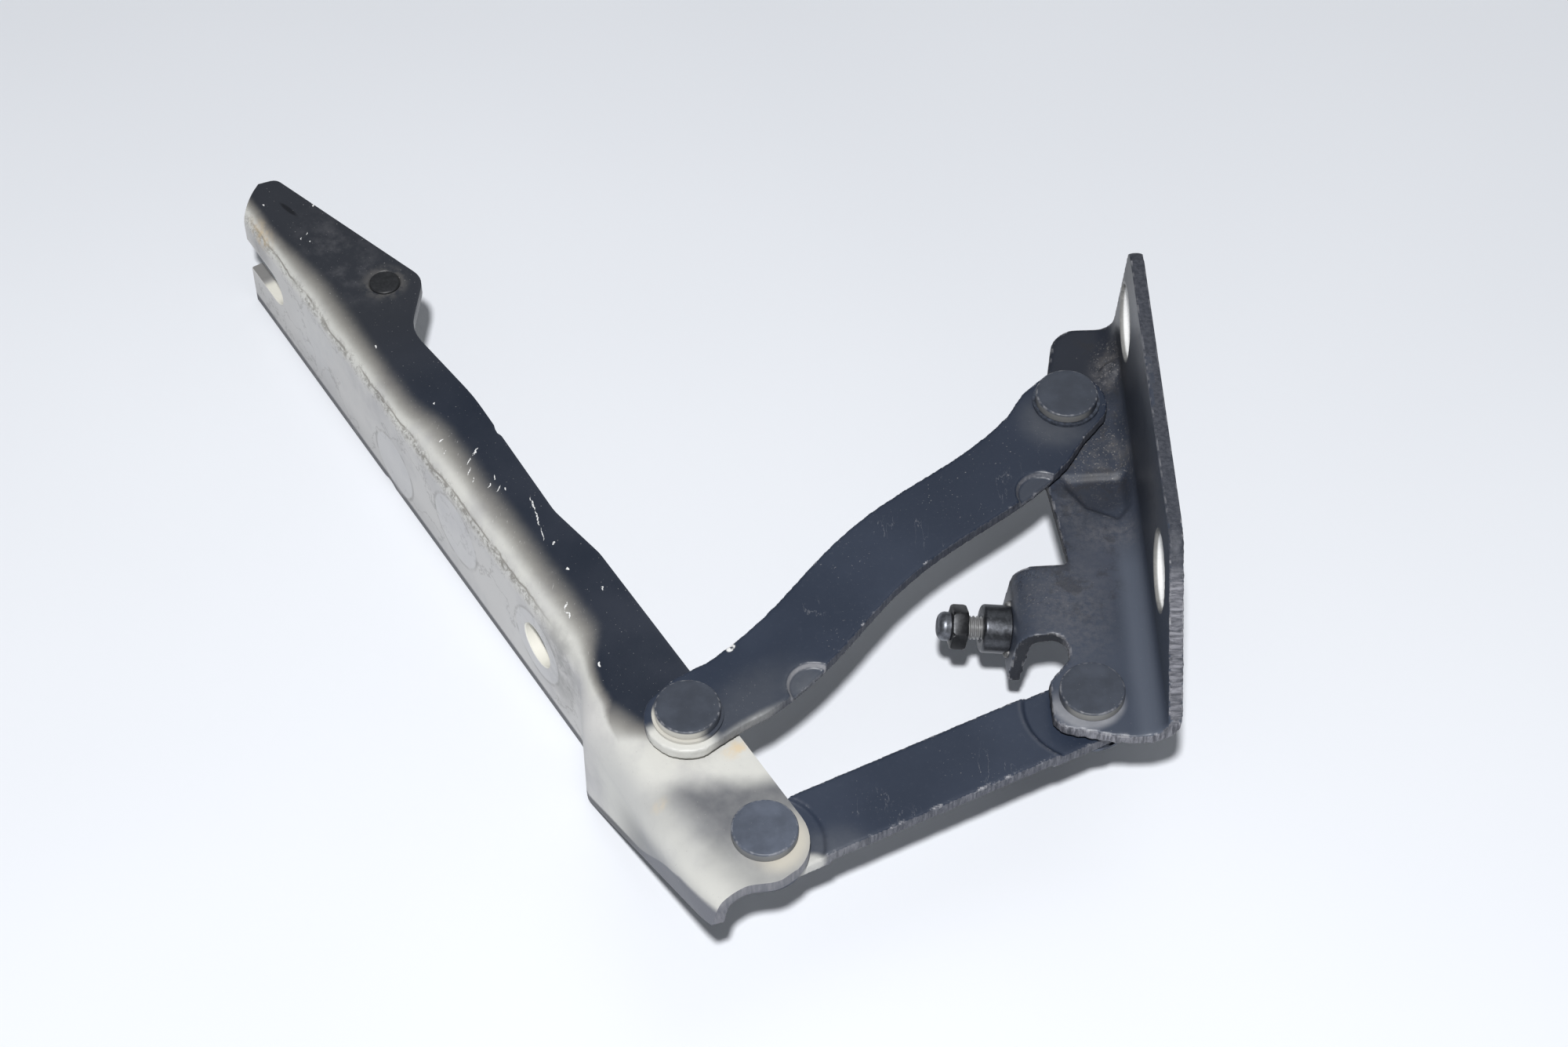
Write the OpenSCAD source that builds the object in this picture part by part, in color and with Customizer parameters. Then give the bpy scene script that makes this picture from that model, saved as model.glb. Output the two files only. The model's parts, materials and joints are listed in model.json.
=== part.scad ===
// Bonnet hinge: four-bar linkage between a body bracket and a bonnet arm.
// Frame: the middle between the two body bolt holes, on the outer face of the bracket's flange.
// X points out of that face, Y runs along the flange, Z runs along the pivots.

/* [Sheet metal] */
// Thickness of the body bracket and of the bonnet arm
sheet = 3.5; // [2.5:0.1:4]
// Thickness of the two links
link_t = 3.5; // [2.5:0.1:4.5]
// Inside radius of the bracket's flange bend
bend_r = 5; // [3:0.5:7]

/* [Linkage] */
// Distance of the upper body pivot from the flange's outer face
upper_pivot_in = 19; // [17:0.5:24]
// Place of the upper body pivot along the flange
upper_pivot_y = 27; // [24:0.5:30]
// Distance of the lower body pivot from the flange's outer face
lower_pivot_in = 20.5; // [18:0.5:24]
// Place of the lower body pivot along the flange
lower_pivot_y = -63; // [-65:0.5:-61]
// Pivot distance of the upper link
upper_link_l = 138.5; // [134:0.5:142]
// Pivot distance of the lower link
lower_link_l = 89; // [86:0.5:92]
// Pivot distance on the bonnet arm
arm_pitch = 35.8; // [34:0.2:38]
// Direction of the upper link, seen from above
upper_link_angle = 224; // [222:0.5:226]
// Angle between the arm's pivot line and its flange
arm_toe = 1.1; // [0:0.1:2]

/* [Links] */
// Half width of the upper link, and its end radius
upper_link_r = 10.6; // [10:0.2:12]
// How far the upper link waves from side to side
link_wave = 2.1; // [0:0.1:3]
// Length of one wave of the upper link
wave_pitch = 90; // [80:1:100]
// Radius of the half-round dents pressed in the upper link's edge
dent_r = 6.4; // [5:0.2:7]
// Depth of those dents
dent_depth = 0.9; // [0.4:0.1:1.2]
// Half width of the lower link, and its end radius
lower_link_r = 9.6; // [9.4:0.1:11]
// How far the lower link's middle stands above its ends
joggle = 1.1; // [0.4:0.1:1.1]
// Radius of the lowered end at the body pivot
body_end_r = 18.2; // [16:0.2:20]
// Radius of the lowered end at the arm pivot
arm_end_r = 16; // [14:0.2:18]

/* [Pivots] */
// Diameter of the rivet heads
head_d = 16; // [14:0.5:17]
// Height of the rivet heads
head_h = 2.8; // [2:0.1:3.5]
// Diameter of the rivets where the links turn
journal_d = 9; // [8:0.1:9.5]
// Diameter of the rivets in the webs and in the opened pivot
tenon_d = 7; // [6:0.1:7.5]
// Diameter of the formed rivet tails
tail_d = 10; // [9:0.5:11]
// Height of the formed rivet tails
tail_h = 2; // [1.5:0.1:2.5]
// Wall of the bushes
bush_wall = 1; // [0.6:0.1:1.5]
// Thickness of the bush flanges, which hold the links off the webs
bush_flange_t = 1.5; // [1.4:0.1:2.5]
// Diameter of the bush flanges
bush_flange_d = 16; // [14:0.5:19]
// Diameter of the washers under the upper rivet heads
head_washer_d = 17.4; // [16:0.2:20]
// Diameter of the washers under the lower link
tail_washer_d = 20; // [19.5:0.5:22]
// Thickness of the washers
washer_t = 0.8; // [0.5:0.1:1.2]
// Radial play of the lower link round the opened pivot
open_play = 2.75; // [2.7:0.05:3]
// Shift of the opened pivot's clearance hole along the lower link
open_along = 1.5; // [1.4:0.1:1.6]
// Shift of the opened pivot's clearance hole across the lower link
open_across = -1.35; // [-1.45:0.05:-1.25]

/* [Body bracket] */
// Distance between the two body bolt holes
body_pitch = 82; // [76:1:86]
// Diameter of the body bolt holes
body_hole_d = 19; // [12:0.5:20]
// Height of the body bolt holes above the web
body_hole_h = 20; // [18:0.5:22]
// Height of the flange above the web
body_flange_h = 41; // [36:0.5:46]
// Length of the flange's base beyond the upper hole
body_end_far = 16.2; // [14:0.2:20]
// Length of the flange's base beyond the lower hole
body_end_near = 34.6; // [33:0.2:38]
// Depth of the pressed pocket in the web
pocket_depth = 0.8; // [0.3:0.1:1.2]

/* [Stop] */
// Place of the stop screw along the flange
stop_y = -34; // [-36:0.5:-32]
// Depth of the stop screw's axis below the web where it meets the lug
stop_depth = 11; // [10:0.2:12.5]
// Distance of the lug's outer corner from the flange's outer face
lug_in = 36.4; // [35:0.2:38]
// Width of the lug
lug_w = 21; // [18:0.5:22]
// Length of the lug below the web's top
lug_l = 18.6; // [18:0.2:22]
// Lean of the lug away from upright
lug_lean = 8; // [4:1:12]
// Inside radius of the lug's bend
lug_bend_r = 2; // [1:0.2:3]
// Diameter of the threaded collar
collar_d = 12.2; // [11:0.2:14]
// Length of the threaded collar
collar_l = 7.2; // [5:0.2:9]
// Thread diameter of the stop screw
screw_d = 6; // [5:0.5:7]
// Width across flats of the screw's head
hex_af = 10; // [9:0.5:11]
// Height of the screw's head
hex_h = 3.9; // [3:0.1:5]
// Length of bare thread between collar and head
thread_gap = 3.8; // [3.5:0.1:6]
// Length of thread beyond the lug
thread_end = 4; // [2:0.5:6]
// Diameter of the domed button
button_d = 7.3; // [6:0.1:8]
// Length of the domed button
button_h = 3.4; // [2.4:0.1:4]

/* [Bonnet arm] */
// Length of the arm beyond its upper pivot
arm_l = 221; // [215:1:230]
// Length of the arm beyond its lower pivot
arm_end = 12; // [11.5:0.5:14]
// Distance of the flange's outer face from the pivot line
arm_flange_in = 12.6; // [12:0.2:14]
// Depth of the flange below the web's top
arm_flange_h = 36.5; // [32:0.5:40]
// Outside radius of the arm's bend
arm_bend_r = 6.5; // [6:0.5:8]
// Step of the flange outwards near the pivots
arm_jog = 7.4; // [4:0.2:9]
// Further flare of the flange towards the arm's lower end
arm_flare = 3; // [2:0.2:4]
// Reach of the web beyond the pivot line, away from the flange
arm_web_r = 9.2; // [8.6:0.2:11]
// Reach of the narrow middle of the web
arm_waist_r = 6.2; // [5:0.2:8]
// Reach of the ear
ear_r = 15.2; // [14.5:0.2:17]
// Distance of the ear's stud from the arm's far end
stud_from_end = 51.6; // [48:0.2:56]
// Distance of the ear's stud from the pivot line
stud_in = 7.4; // [6:0.2:8]
// Diameter of the stud in the web
stud_d = 8.2; // [7:0.1:9]
// Diameter of the stud's ball
ball_d = 10; // [8:0.5:12]

/* [Bonnet bolts] */
// Diameter of the round bonnet bolt hole
bonnet_hole_d = 12.5; // [9:0.5:13]
// Place of the round hole along the arm
bonnet_hole_at = 53.5; // [48:0.5:60]
// Distance from the round hole to the slot's round end
bonnet_pitch = 147; // [140:0.5:150]
// Width of the open-ended slot
slot_w = 11; // [8:0.2:12]
// Depth of both below the web's top
bonnet_bolt_depth = 18; // [16:0.5:20]

/* [Clearances] */
// Radial clearance of the turning fits
running = 0.05; // [0.03:0.01:0.08]
// Radial clearance of the fixed fits
seat = 0.02; // [0.01:0.01:0.04]
// Axial play of the links
axial = 0.15; // [0.1:0.05:0.2]

/* [Hidden] */
$fn = 64;
eps = 0.01;
arc_step = 9;

// Levels, measured from the top of the webs
upper_link_z = axial + bush_flange_t;
upper_washer_z = upper_link_z + link_t + axial;
upper_head_z = upper_washer_z + washer_t;
lower_link_z = -sheet - axial - bush_flange_t - link_t;
lower_washer_z = lower_link_z - axial - washer_t;
web_z = -body_hole_h;

// The four pivots at rest, seen from above
stud_at = arm_l - stud_from_end;
pivot_a = [-upper_pivot_in, upper_pivot_y];
pivot_b = [-lower_pivot_in, lower_pivot_y];
pivot_d = pivot_a + upper_link_l * [cos(upper_link_angle), sin(upper_link_angle)];
pivot_c = meet(pivot_b, lower_link_l, pivot_d, arm_pitch);
lower_link_angle = heading(pivot_c - pivot_b);
arm_angle = heading(pivot_d - pivot_c);

// Plane geometry
function unit(v) = v / norm(v);
function heading(v) = atan2(v[1], v[0]);
function left_of(v) = [-v[1], v[0]];
function blend(x) = let (k = min(max(x, 0), 1)) k * k * (3 - 2 * k);

// The point at distance r1 from p1 and r2 from p2, on the left of the way from p1 to p2
function meet(p1, r1, p2, r2) =
  let (v = p2 - p1, d = norm(v), a = (d * d + r1 * r1 - r2 * r2) / (2 * d))
  p1 + a * unit(v) + sqrt(r1 * r1 - a * a) * left_of(unit(v));

// Points of an arc about c from angle a0 to angle a1
function arc(c, r, a0, a1) =
  let (n = max(2, ceil(abs(a1 - a0) / arc_step)))
  [for (i = [0:n]) c + r * [cos(a0 + (a1 - a0) * i / n), sin(a0 + (a1 - a0) * i / n)]];

// A corner p between a and b, rounded with radius r
function corner(a, p, b, r) =
  r <= 0 ? [p] :
  let (
    u = unit(a - p),
    v = unit(b - p),
    half = acos(u * v) / 2,
    c = p + unit(u + v) * r / sin(half),
    a0 = heading(p + u * r / tan(half) - c),
    a1 = heading(p + v * r / tan(half) - c),
    turn = (a1 - a0 + 540) % 360 - 180
  )
  arc(c, r, a0, a0 + turn);

// A closed outline from corners [x, y, radius]
function rounded(q) =
  let (n = len(q), p = [for (k = q) [k[0], k[1]]])
  [for (i = [0:n - 1]) each corner(p[(i + n - 1) % n], p[i], p[(i + 1) % n], q[i][2])];

// Placing helpers
module at_web() translate([0, 0, web_z]) children();
module at_pivot(p, z) at_web() translate([p[0], p[1], z]) children();
module on_arm() at_pivot(pivot_d, 0) rotate(arm_angle + arm_toe) children();
module along_y(y0, y1) translate([0, y1, 0]) rotate([90, 0, 0]) linear_extrude(y1 - y0) children();
module along_x(x0, x1) translate([x0, 0, 0]) rotate([90, 0, 90]) linear_extrude(x1 - x0) children();

// Body bracket
lug_down = [-sin(lug_lean), -cos(lug_lean)];
lug_side = [cos(lug_lean), -sin(lug_lean)];
lug_corner = [-lug_in, 0];
lug_inner_s = sheet * (1 - sin(lug_lean)) / cos(lug_lean);
lug_inner = lug_corner + sheet * lug_side + lug_inner_s * lug_down;
flange_far = body_pitch / 2 + body_end_far;
flange_near = -body_pitch / 2 - body_end_near;
lug_far = stop_y + lug_w / 2;
lug_near = stop_y - lug_w / 2;
relief_w = 7;
boss_r = 11.4;
reach = 60;

module bracket_section()
  polygon(rounded([
    [0, body_flange_h, 0],
    [0, -sheet, bend_r + sheet],
    [lug_inner[0], lug_inner[1], lug_bend_r],
    concat(lug_corner + lug_l * lug_down + sheet * lug_side, 0),
    concat(lug_corner + lug_l * lug_down, 0),
    [lug_corner[0], 0, lug_bend_r + sheet],
    [-sheet, 0, bend_r],
    [-sheet, body_flange_h, 0]
  ]));

module bracket_outline()
  let (
    a = pivot_a,
    b = pivot_b,
    boss = boss_r,
    step_x = -lug_in + 14,
    far_x = -upper_pivot_in - 0.5
  )
  polygon(rounded([
    [eps, flange_near, 0],
    [eps, flange_far, 0],
    [far_x, flange_far, 8],
    [far_x - 3, a[1] + boss + 2, 4],
    [a[0] - boss, a[1] + boss / 2, 6],
    [a[0] - boss, a[1] - boss, 8],
    [a[0] - 6.6, a[1] - boss - 12, 6],
    [step_x, lug_far + 1.5, 1.2],
    [-reach, lug_far, 0],
    [-reach, lug_near, 0],
    [-lug_in + 2.5, lug_near, 0.8],
    [-lug_in + 4.6 + relief_w, lug_near + 0.8, 4],
    [-lug_in + 4.6 + relief_w, lug_near - relief_w, 3],
    [b[0] - 10, b[1] + 4.5, 3],
    [b[0] - 10, b[1] - 8.6, 5],
    [b[0] + 6, flange_near, 12]
  ]));

// Seen from inside: what the flange loses at its sloping ends
module flange_trim()
  difference() {
    translate([flange_near - 1, bend_r])
      square([flange_far - flange_near + 2, body_flange_h]);
    polygon(rounded([
      [flange_far, bend_r - 1, 0],
      [flange_far - 10.2, body_flange_h, 5],
      [-body_pitch / 2 - 6.5, body_flange_h, 9],
      [flange_near, bend_r - 1, 0]
    ]));
  }

module bracket_pocket()
  translate([0, 0, -pocket_depth])
    linear_extrude(bend_r)
      polygon(rounded([
        [-bend_r - sheet - 0.3, 7.4, 2.5],
        [-upper_pivot_in - 2.4, 6, 2],
        [-upper_pivot_in - 1.8, -2.4, 2],
        [-bend_r - sheet - 0.3, -6.2, 3]
      ]));

module body_bracket()
  color("#24262b") at_web()
    difference() {
      intersection() {
        along_y(flange_near, flange_far) bracket_section();
        translate([0, 0, -reach]) linear_extrude(3 * reach) bracket_outline();
      }
      along_x(-bend_r - sheet, 1) flange_trim();
      for (y = [-1, 1] * body_pitch / 2)
        translate([-2 * sheet, y, body_hole_h]) rotate([0, 90, 0]) cylinder(d = body_hole_d, h = 3 * sheet);
      translate([pivot_a[0], pivot_a[1], -2 * sheet]) cylinder(r = tenon_d / 2 + seat, h = 3 * sheet);
      translate([pivot_b[0], pivot_b[1], -2 * sheet]) cylinder(r = journal_d / 2 + seat, h = 3 * sheet);
      bracket_pocket();
      on_stop_axis() translate([0, 0, -2 * sheet]) cylinder(r = screw_d / 2 + running, h = 3 * sheet);
    }

// Stop on the bracket's lug: local Z runs out of the lug's outer face, from the middle of the collar
stop_s = stop_depth / cos(lug_lean);
stop_seat = lug_corner + stop_s * lug_down;
module on_stop_axis()
  translate([stop_seat[0], stop_y, stop_seat[1]]) rotate([0, -90 + lug_lean, 0]) children();

module stop_collar()
  color("#1b1c20") at_web() on_stop_axis()
    difference() {
      rotate_extrude()
        polygon(rounded([
          [0, 0, 0],
          [collar_d / 2, 0, 0.3],
          [collar_d / 2, collar_l, 0.8],
          [0, collar_l, 0]
        ]));
      translate([0, 0, -1]) cylinder(r = screw_d / 2 + running, h = collar_l + 2);
    }

hex_z = collar_l + thread_gap;

module stop_screw()
  color("#303238") at_web() on_stop_axis()
    union() {
      translate([0, 0, -sheet - thread_end]) cylinder(d = screw_d, h = hex_z + sheet + thread_end + 1);
      translate([0, 0, hex_z]) rotate(30) cylinder(d = hex_af / cos(30), h = hex_h, $fn = 6);
    }

module stop_button()
  color("#17181b") at_web() on_stop_axis() translate([0, 0, hex_z + hex_h])
    rotate_extrude()
      polygon(rounded([
        [0, 0, 0],
        [button_d / 2, 0, 0.2],
        [button_d / 2, button_h, 1.6],
        [0, button_h, 0]
      ]));

// Upper link, drawn along its pivot line from the body pivot
function wave_at(t) =
  let (fade = blend(t / 16) * blend((upper_link_l - t) / 16))
  fade * (link_wave * 0.57 - link_wave * cos(360 * (t - 0.49 * upper_link_l) / wave_pitch));
side_n = 28;
side_from = 5;
dent_at = [0.195, 0.8];
dent_out = 1.4;
function side_t(i) = side_from + (upper_link_l - 2 * side_from) * i / side_n;

module upper_link()
  color("#2a2c31") at_pivot(pivot_a, upper_link_z) rotate(upper_link_angle)
    difference() {
      linear_extrude(link_t)
        polygon(concat(
          [for (i = [0:side_n]) [side_t(i), wave_at(side_t(i)) - upper_link_r]],
          arc([upper_link_l, 0], upper_link_r, -70, 70),
          [for (i = [side_n:-1:0]) [side_t(i), wave_at(side_t(i)) + upper_link_r]],
          arc([0, 0], upper_link_r, 110, 250)
        ));
      for (x = [0, upper_link_l])
        translate([x, 0, -1]) cylinder(r = journal_d / 2 + running + bush_wall + seat, h = link_t + 2);
      for (x = [dent_at[0], dent_at[1]] * upper_link_l)
        translate([x, wave_at(x) + upper_link_r + dent_out, link_t - dent_depth])
          cylinder(r = dent_r, h = link_t);
    }

// Lower link, drawn along its pivot line from the body pivot, with lowered ends
end_overlap = 1.6;
module lower_link_outline()
  polygon(concat(
    arc([0, 0], lower_link_r, 90, 270),
    arc([lower_link_l, 0], lower_link_r, -90, 90)
  ));

module lower_link()
  color("#2b2d33") at_pivot(pivot_b, lower_link_z) rotate(lower_link_angle)
    difference() {
      union() {
        linear_extrude(link_t) intersection() {
          lower_link_outline();
          union() {
            circle(r = body_end_r);
            translate([lower_link_l, 0]) circle(r = arm_end_r);
          }
        }
        translate([0, 0, joggle]) linear_extrude(link_t) difference() {
          lower_link_outline();
          circle(r = body_end_r - end_overlap);
          translate([lower_link_l, 0]) circle(r = arm_end_r - end_overlap);
        }
      }
      translate([0, 0, -1]) cylinder(r = journal_d / 2 + running + bush_wall + seat, h = link_t + 2);
      translate([lower_link_l + open_along, open_across, -1])
        cylinder(r = tenon_d / 2 + open_play, h = link_t + 2);
    }

// Rivets: heads with a rounded rim, drawn upwards from the head's seat
module rivet_head()
  rotate_extrude()
    polygon(rounded([
      [0, 0, 0],
      [head_d / 2, 0, 0.3],
      [head_d / 2, head_h, 1],
      [0, head_h, 0]
    ]));

// A rivet on top of the upper link, staked in the web
module upper_rivet(p)
  color("#202227") at_pivot(p, 0)
    union() {
      translate([0, 0, upper_head_z]) rivet_head();
      cylinder(d = journal_d, h = upper_head_z + eps);
      translate([0, 0, -sheet - eps]) cylinder(d = tenon_d, h = sheet + 2 * eps);
      translate([0, 0, -sheet - tail_h]) cylinder(d = tail_d, h = tail_h);
    }

// A rivet on top of a web, formed under the lower link; neck_d is its size in the link
module lower_rivet(p, neck_d)
  color("#202227") at_pivot(p, 0)
    union() {
      rivet_head();
      translate([0, 0, -sheet]) cylinder(d = journal_d, h = sheet + eps);
      translate([0, 0, lower_washer_z - eps]) cylinder(d = neck_d, h = -lower_washer_z - sheet + 2 * eps);
      translate([0, 0, lower_washer_z - tail_h]) cylinder(d = tail_d + 2, h = tail_h);
    }

module upper_body_rivet() upper_rivet(pivot_a);
module upper_arm_rivet() upper_rivet(pivot_d);
module lower_body_rivet() lower_rivet(pivot_b, journal_d);
module lower_arm_rivet() lower_rivet(pivot_c, tenon_d);

// Flanged bush: flange_z is the flange's lower face, sleeve_z the sleeve's lower face
module bush(p, flange_z, sleeve_z)
  color("#8a6f45") at_web() translate([p[0], p[1], 0])
    difference() {
      union() {
        translate([0, 0, flange_z]) cylinder(d = bush_flange_d, h = bush_flange_t);
        translate([0, 0, sleeve_z]) cylinder(r = journal_d / 2 + running + bush_wall, h = link_t);
      }
      translate([0, 0, min(flange_z, sleeve_z) - 1])
        cylinder(r = journal_d / 2 + running, h = link_t + bush_flange_t + 2);
    }

module upper_body_bush() bush(pivot_a, axial, upper_link_z);
module upper_arm_bush() bush(pivot_d, axial, upper_link_z);
module lower_body_bush() bush(pivot_b, lower_link_z + link_t, lower_link_z);

module ring(p, z, d, bore, t)
  at_pivot(p, z)
    difference() {
      cylinder(d = d, h = t);
      translate([0, 0, -1]) cylinder(r = bore / 2 + seat, h = t + 2);
    }

module lower_arm_spacer()
  color("#8a6f45") ring(pivot_c, -sheet - bush_flange_t, bush_flange_d, tenon_d, bush_flange_t);
module upper_body_washer() color("#6d6f73") ring(pivot_a, upper_washer_z, head_washer_d, journal_d, washer_t);
module upper_arm_washer() color("#6d6f73") ring(pivot_d, upper_washer_z, head_washer_d, journal_d, washer_t);
module lower_body_washer() color("#6d6f73") ring(pivot_b, lower_washer_z, tail_washer_d, journal_d, washer_t);
module lower_arm_washer() color("#6d6f73") ring(pivot_c, lower_washer_z, tail_washer_d, tenon_d, washer_t);

// Bonnet arm: local X runs from the upper pivot to the far end, local Y towards the flange
jog_from = 33;
jog_to = 15;
arm_low = -arm_pitch - arm_end;
function jog(x) = blend((jog_from - x) / (jog_from - jog_to));
function low_part(x) = max(0, (jog_to - x) / (jog_to - arm_low));
function flange_y(x) = arm_flange_in + arm_jog * jog(x) + arm_flare * low_part(x);
function arm_bend(x) = arm_bend_r + 2 * jog(x) + 0.6 * low_part(x);
arm_stations = concat(
  [arm_l + 4, jog_from],
  [for (i = [1:6]) jog_from + (jog_to - jog_from) * i / 6],
  [for (i = [1:4]) jog_to + (arm_low - 4 - jog_to) * i / 4]
);
bend_n = 8;
web_side = -24;

// One cross-section of the sheet at station x: its outer face, then its inner face
function arm_section(x) =
  let (y = flange_y(x), r = arm_bend(x))
  concat(
    [[x, web_side, 0]],
    [for (i = [0:bend_n]) [x, y - r + r * sin(90 * i / bend_n), -r + r * cos(90 * i / bend_n)]],
    [[x, y, -arm_flange_h], [x, y - sheet, -arm_flange_h]],
    [for (i = [bend_n:-1:0])
      [x, y - r + (r - sheet) * sin(90 * i / bend_n), -r + (r - sheet) * cos(90 * i / bend_n)]],
    [[x, web_side, -sheet]]
  );

module arm_sheet()
  let (
    n = len(arm_stations),
    m = len(arm_section(0)),
    points = [for (x = arm_stations) each arm_section(x)]
  )
  polyhedron(points, concat(
    [[for (j = [0:m - 1]) j]],
    [[for (j = [m - 1:-1:0]) (n - 1) * m + j]],
    [for (i = [0:n - 2], j = [0:m - 1], k = [0, 1])
      let (a = i * m + j, b = i * m + (j + 1) % m, c = a + m, d = b + m)
      k == 0 ? [a, c, b] : [b, c, d]]
  ));

module arm_outline()
  let (side = arm_flange_in + arm_jog + arm_flare + 8)
  polygon(rounded([
    [arm_low - 0.9, -arm_web_r, 11.4],
    [58, -arm_web_r, 12],
    [76, -arm_waist_r, 12],
    [stud_at - 18, -arm_waist_r + 0.8, 12],
    [stud_at - 4, -ear_r - 1.8, 6.5],
    [arm_l - 1, -0.4, 3],
    [arm_l, arm_flange_in - 8, 5],
    [arm_l - 8, arm_flange_in + 3, 0],
    [arm_l - 8, side, 0],
    [arm_low, side, 0],
    [arm_low, arm_flange_in + arm_jog + 4, 0],
    [arm_low + 2, arm_flange_in + arm_jog - 0.5, 2],
    [arm_low + 2, arm_flange_in, 4],
    [arm_low - 0.9, arm_flange_in - 7, 4]
  ]));

// Seen from the side: what the flange loses under its rising lower end
lip_from = 18;
lip_tip = 4.8;
module lip_trim()
  polygon([
    [lip_from, -arm_flange_h - 1],
    [lip_from, -arm_flange_h],
    [arm_low - 3, -lip_tip],
    [arm_low - 8, -lip_tip],
    [arm_low - 8, -arm_flange_h - 1]
  ]);

module bonnet_arm()
  color("#2b2d33") on_arm()
    difference() {
      intersection() {
        arm_sheet();
        translate([0, 0, -reach]) linear_extrude(2 * reach) arm_outline();
      }
      translate([0, reach, 0]) rotate([90, 0, 0]) linear_extrude(reach - arm_flange_in + 8) lip_trim();
      translate([bonnet_hole_at, arm_flange_in + sheet, -bonnet_bolt_depth])
        rotate([90, 0, 0]) cylinder(d = bonnet_hole_d, h = 3 * sheet);
      translate([bonnet_hole_at + bonnet_pitch, arm_flange_in + sheet, -bonnet_bolt_depth])
        rotate([90, 0, 0]) {
          cylinder(d = slot_w, h = 3 * sheet);
          translate([0, -slot_w / 2, 0]) cube([arm_l, slot_w, 3 * sheet]);
        }
      translate([0, 0, -2 * sheet]) cylinder(r = tenon_d / 2 + seat, h = 3 * sheet);
      rotate(-arm_toe) translate([-arm_pitch, 0, -2 * sheet])
        cylinder(r = journal_d / 2 + seat, h = 3 * sheet);
      translate([stud_at, -stud_in, -2 * sheet]) cylinder(r = stud_d / 2 + seat, h = 3 * sheet);
    }

// Ball stud staked in the ear
stud_collar_h = 3;
stud_neck_h = 4;
module strut_stud()
  color("#55585e") on_arm() translate([stud_at, -stud_in, 0])
    union() {
      translate([0, 0, -sheet - eps]) cylinder(d = stud_d, h = sheet - 0.2);
      translate([0, 0, -sheet - stud_collar_h]) cylinder(d = stud_d + 4.6, h = stud_collar_h);
      translate([0, 0, -sheet - stud_collar_h - stud_neck_h])
        cylinder(d = ball_d * 0.62, h = stud_neck_h + eps);
      translate([0, 0, -sheet - stud_collar_h - stud_neck_h - ball_d * 0.39]) sphere(d = ball_d);
    }

body_bracket();
bonnet_arm();
upper_link();
lower_link();
upper_body_rivet();
lower_body_rivet();
upper_arm_rivet();
lower_arm_rivet();
upper_body_bush();
upper_arm_bush();
lower_body_bush();
lower_arm_spacer();
upper_body_washer();
upper_arm_washer();
lower_body_washer();
lower_arm_washer();
stop_collar();
stop_screw();
stop_button();
strut_stud();
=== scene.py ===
"""Bonnet hinge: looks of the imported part, with its stage and camera."""

import json
import math

import bmesh
import bpy
from mathutils import Matrix, Vector, noise


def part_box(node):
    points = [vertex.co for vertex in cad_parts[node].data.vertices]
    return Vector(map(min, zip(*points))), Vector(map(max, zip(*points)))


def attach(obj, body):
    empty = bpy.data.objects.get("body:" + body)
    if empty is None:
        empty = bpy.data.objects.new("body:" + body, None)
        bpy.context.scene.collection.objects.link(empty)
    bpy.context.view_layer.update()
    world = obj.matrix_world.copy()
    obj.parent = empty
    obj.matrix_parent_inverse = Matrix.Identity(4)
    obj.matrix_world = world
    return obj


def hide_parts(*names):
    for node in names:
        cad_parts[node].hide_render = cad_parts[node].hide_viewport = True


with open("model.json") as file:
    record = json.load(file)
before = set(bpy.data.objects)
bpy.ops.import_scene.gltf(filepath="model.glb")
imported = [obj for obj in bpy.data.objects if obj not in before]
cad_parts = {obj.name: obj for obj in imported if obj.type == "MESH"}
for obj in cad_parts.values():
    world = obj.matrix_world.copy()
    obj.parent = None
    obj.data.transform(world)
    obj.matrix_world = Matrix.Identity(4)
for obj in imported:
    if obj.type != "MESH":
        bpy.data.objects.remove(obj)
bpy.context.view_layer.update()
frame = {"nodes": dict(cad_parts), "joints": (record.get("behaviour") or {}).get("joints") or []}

MM = 0.001
SHARP = math.radians(35)


def middle(node):
    low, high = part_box(node)
    return (low + high) / 2


# Places of the linkage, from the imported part
JOINTS = {joint["name"]: joint for joint in frame["joints"]}
WEB_Z = JOINTS["upper_link_pivot"]["pos_m"][2]
PIVOTS = {
    node: Vector((middle(node).x, middle(node).y, WEB_Z))
    for node in ("upper_body_rivet", "lower_body_rivet", "upper_arm_rivet", "lower_arm_rivet")
}
PIVOT_A = PIVOTS["upper_body_rivet"]
PIVOT_B = PIVOTS["lower_body_rivet"]
PIVOT_C = PIVOTS["lower_arm_rivet"]
PIVOT_D = PIVOTS["upper_arm_rivet"]
ARM_TOE = math.radians(1.1)
ARM_TURN = math.atan2(PIVOT_D.y - PIVOT_C.y, PIVOT_D.x - PIVOT_C.x) + ARM_TOE
ARM = Matrix.Translation(PIVOT_D) @ Matrix.Rotation(ARM_TURN, 4, "Z")
LOWER_AT = ARM.inverted() @ PIVOT_C / MM
STOP_AXIS = Vector(JOINTS["stop_screw_slide"]["axis"]).normalized()


# Shader maths
def maths(operation, swapped=False):
    """A method of Signal that adds one Math node."""

    def method(self, other=0.0):
        first, second = (other, self) if swapped else (self, other)
        return self.finish.add("ShaderNodeMath", {"operation": operation}, {0: first, 1: second})

    return method


class Signal:
    """A socket of a finish; its operators add Math nodes."""

    def __init__(self, finish, socket):
        self.finish = finish
        self.socket = socket

    __add__ = __radd__ = maths("ADD")
    __sub__ = maths("SUBTRACT")
    __rsub__ = maths("SUBTRACT", swapped=True)
    __mul__ = __rmul__ = maths("MULTIPLY")
    __truediv__ = maths("DIVIDE")
    __abs__ = maths("ABSOLUTE")
    larger = maths("MAXIMUM")
    smaller = maths("MINIMUM")
    power = maths("POWER")


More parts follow.
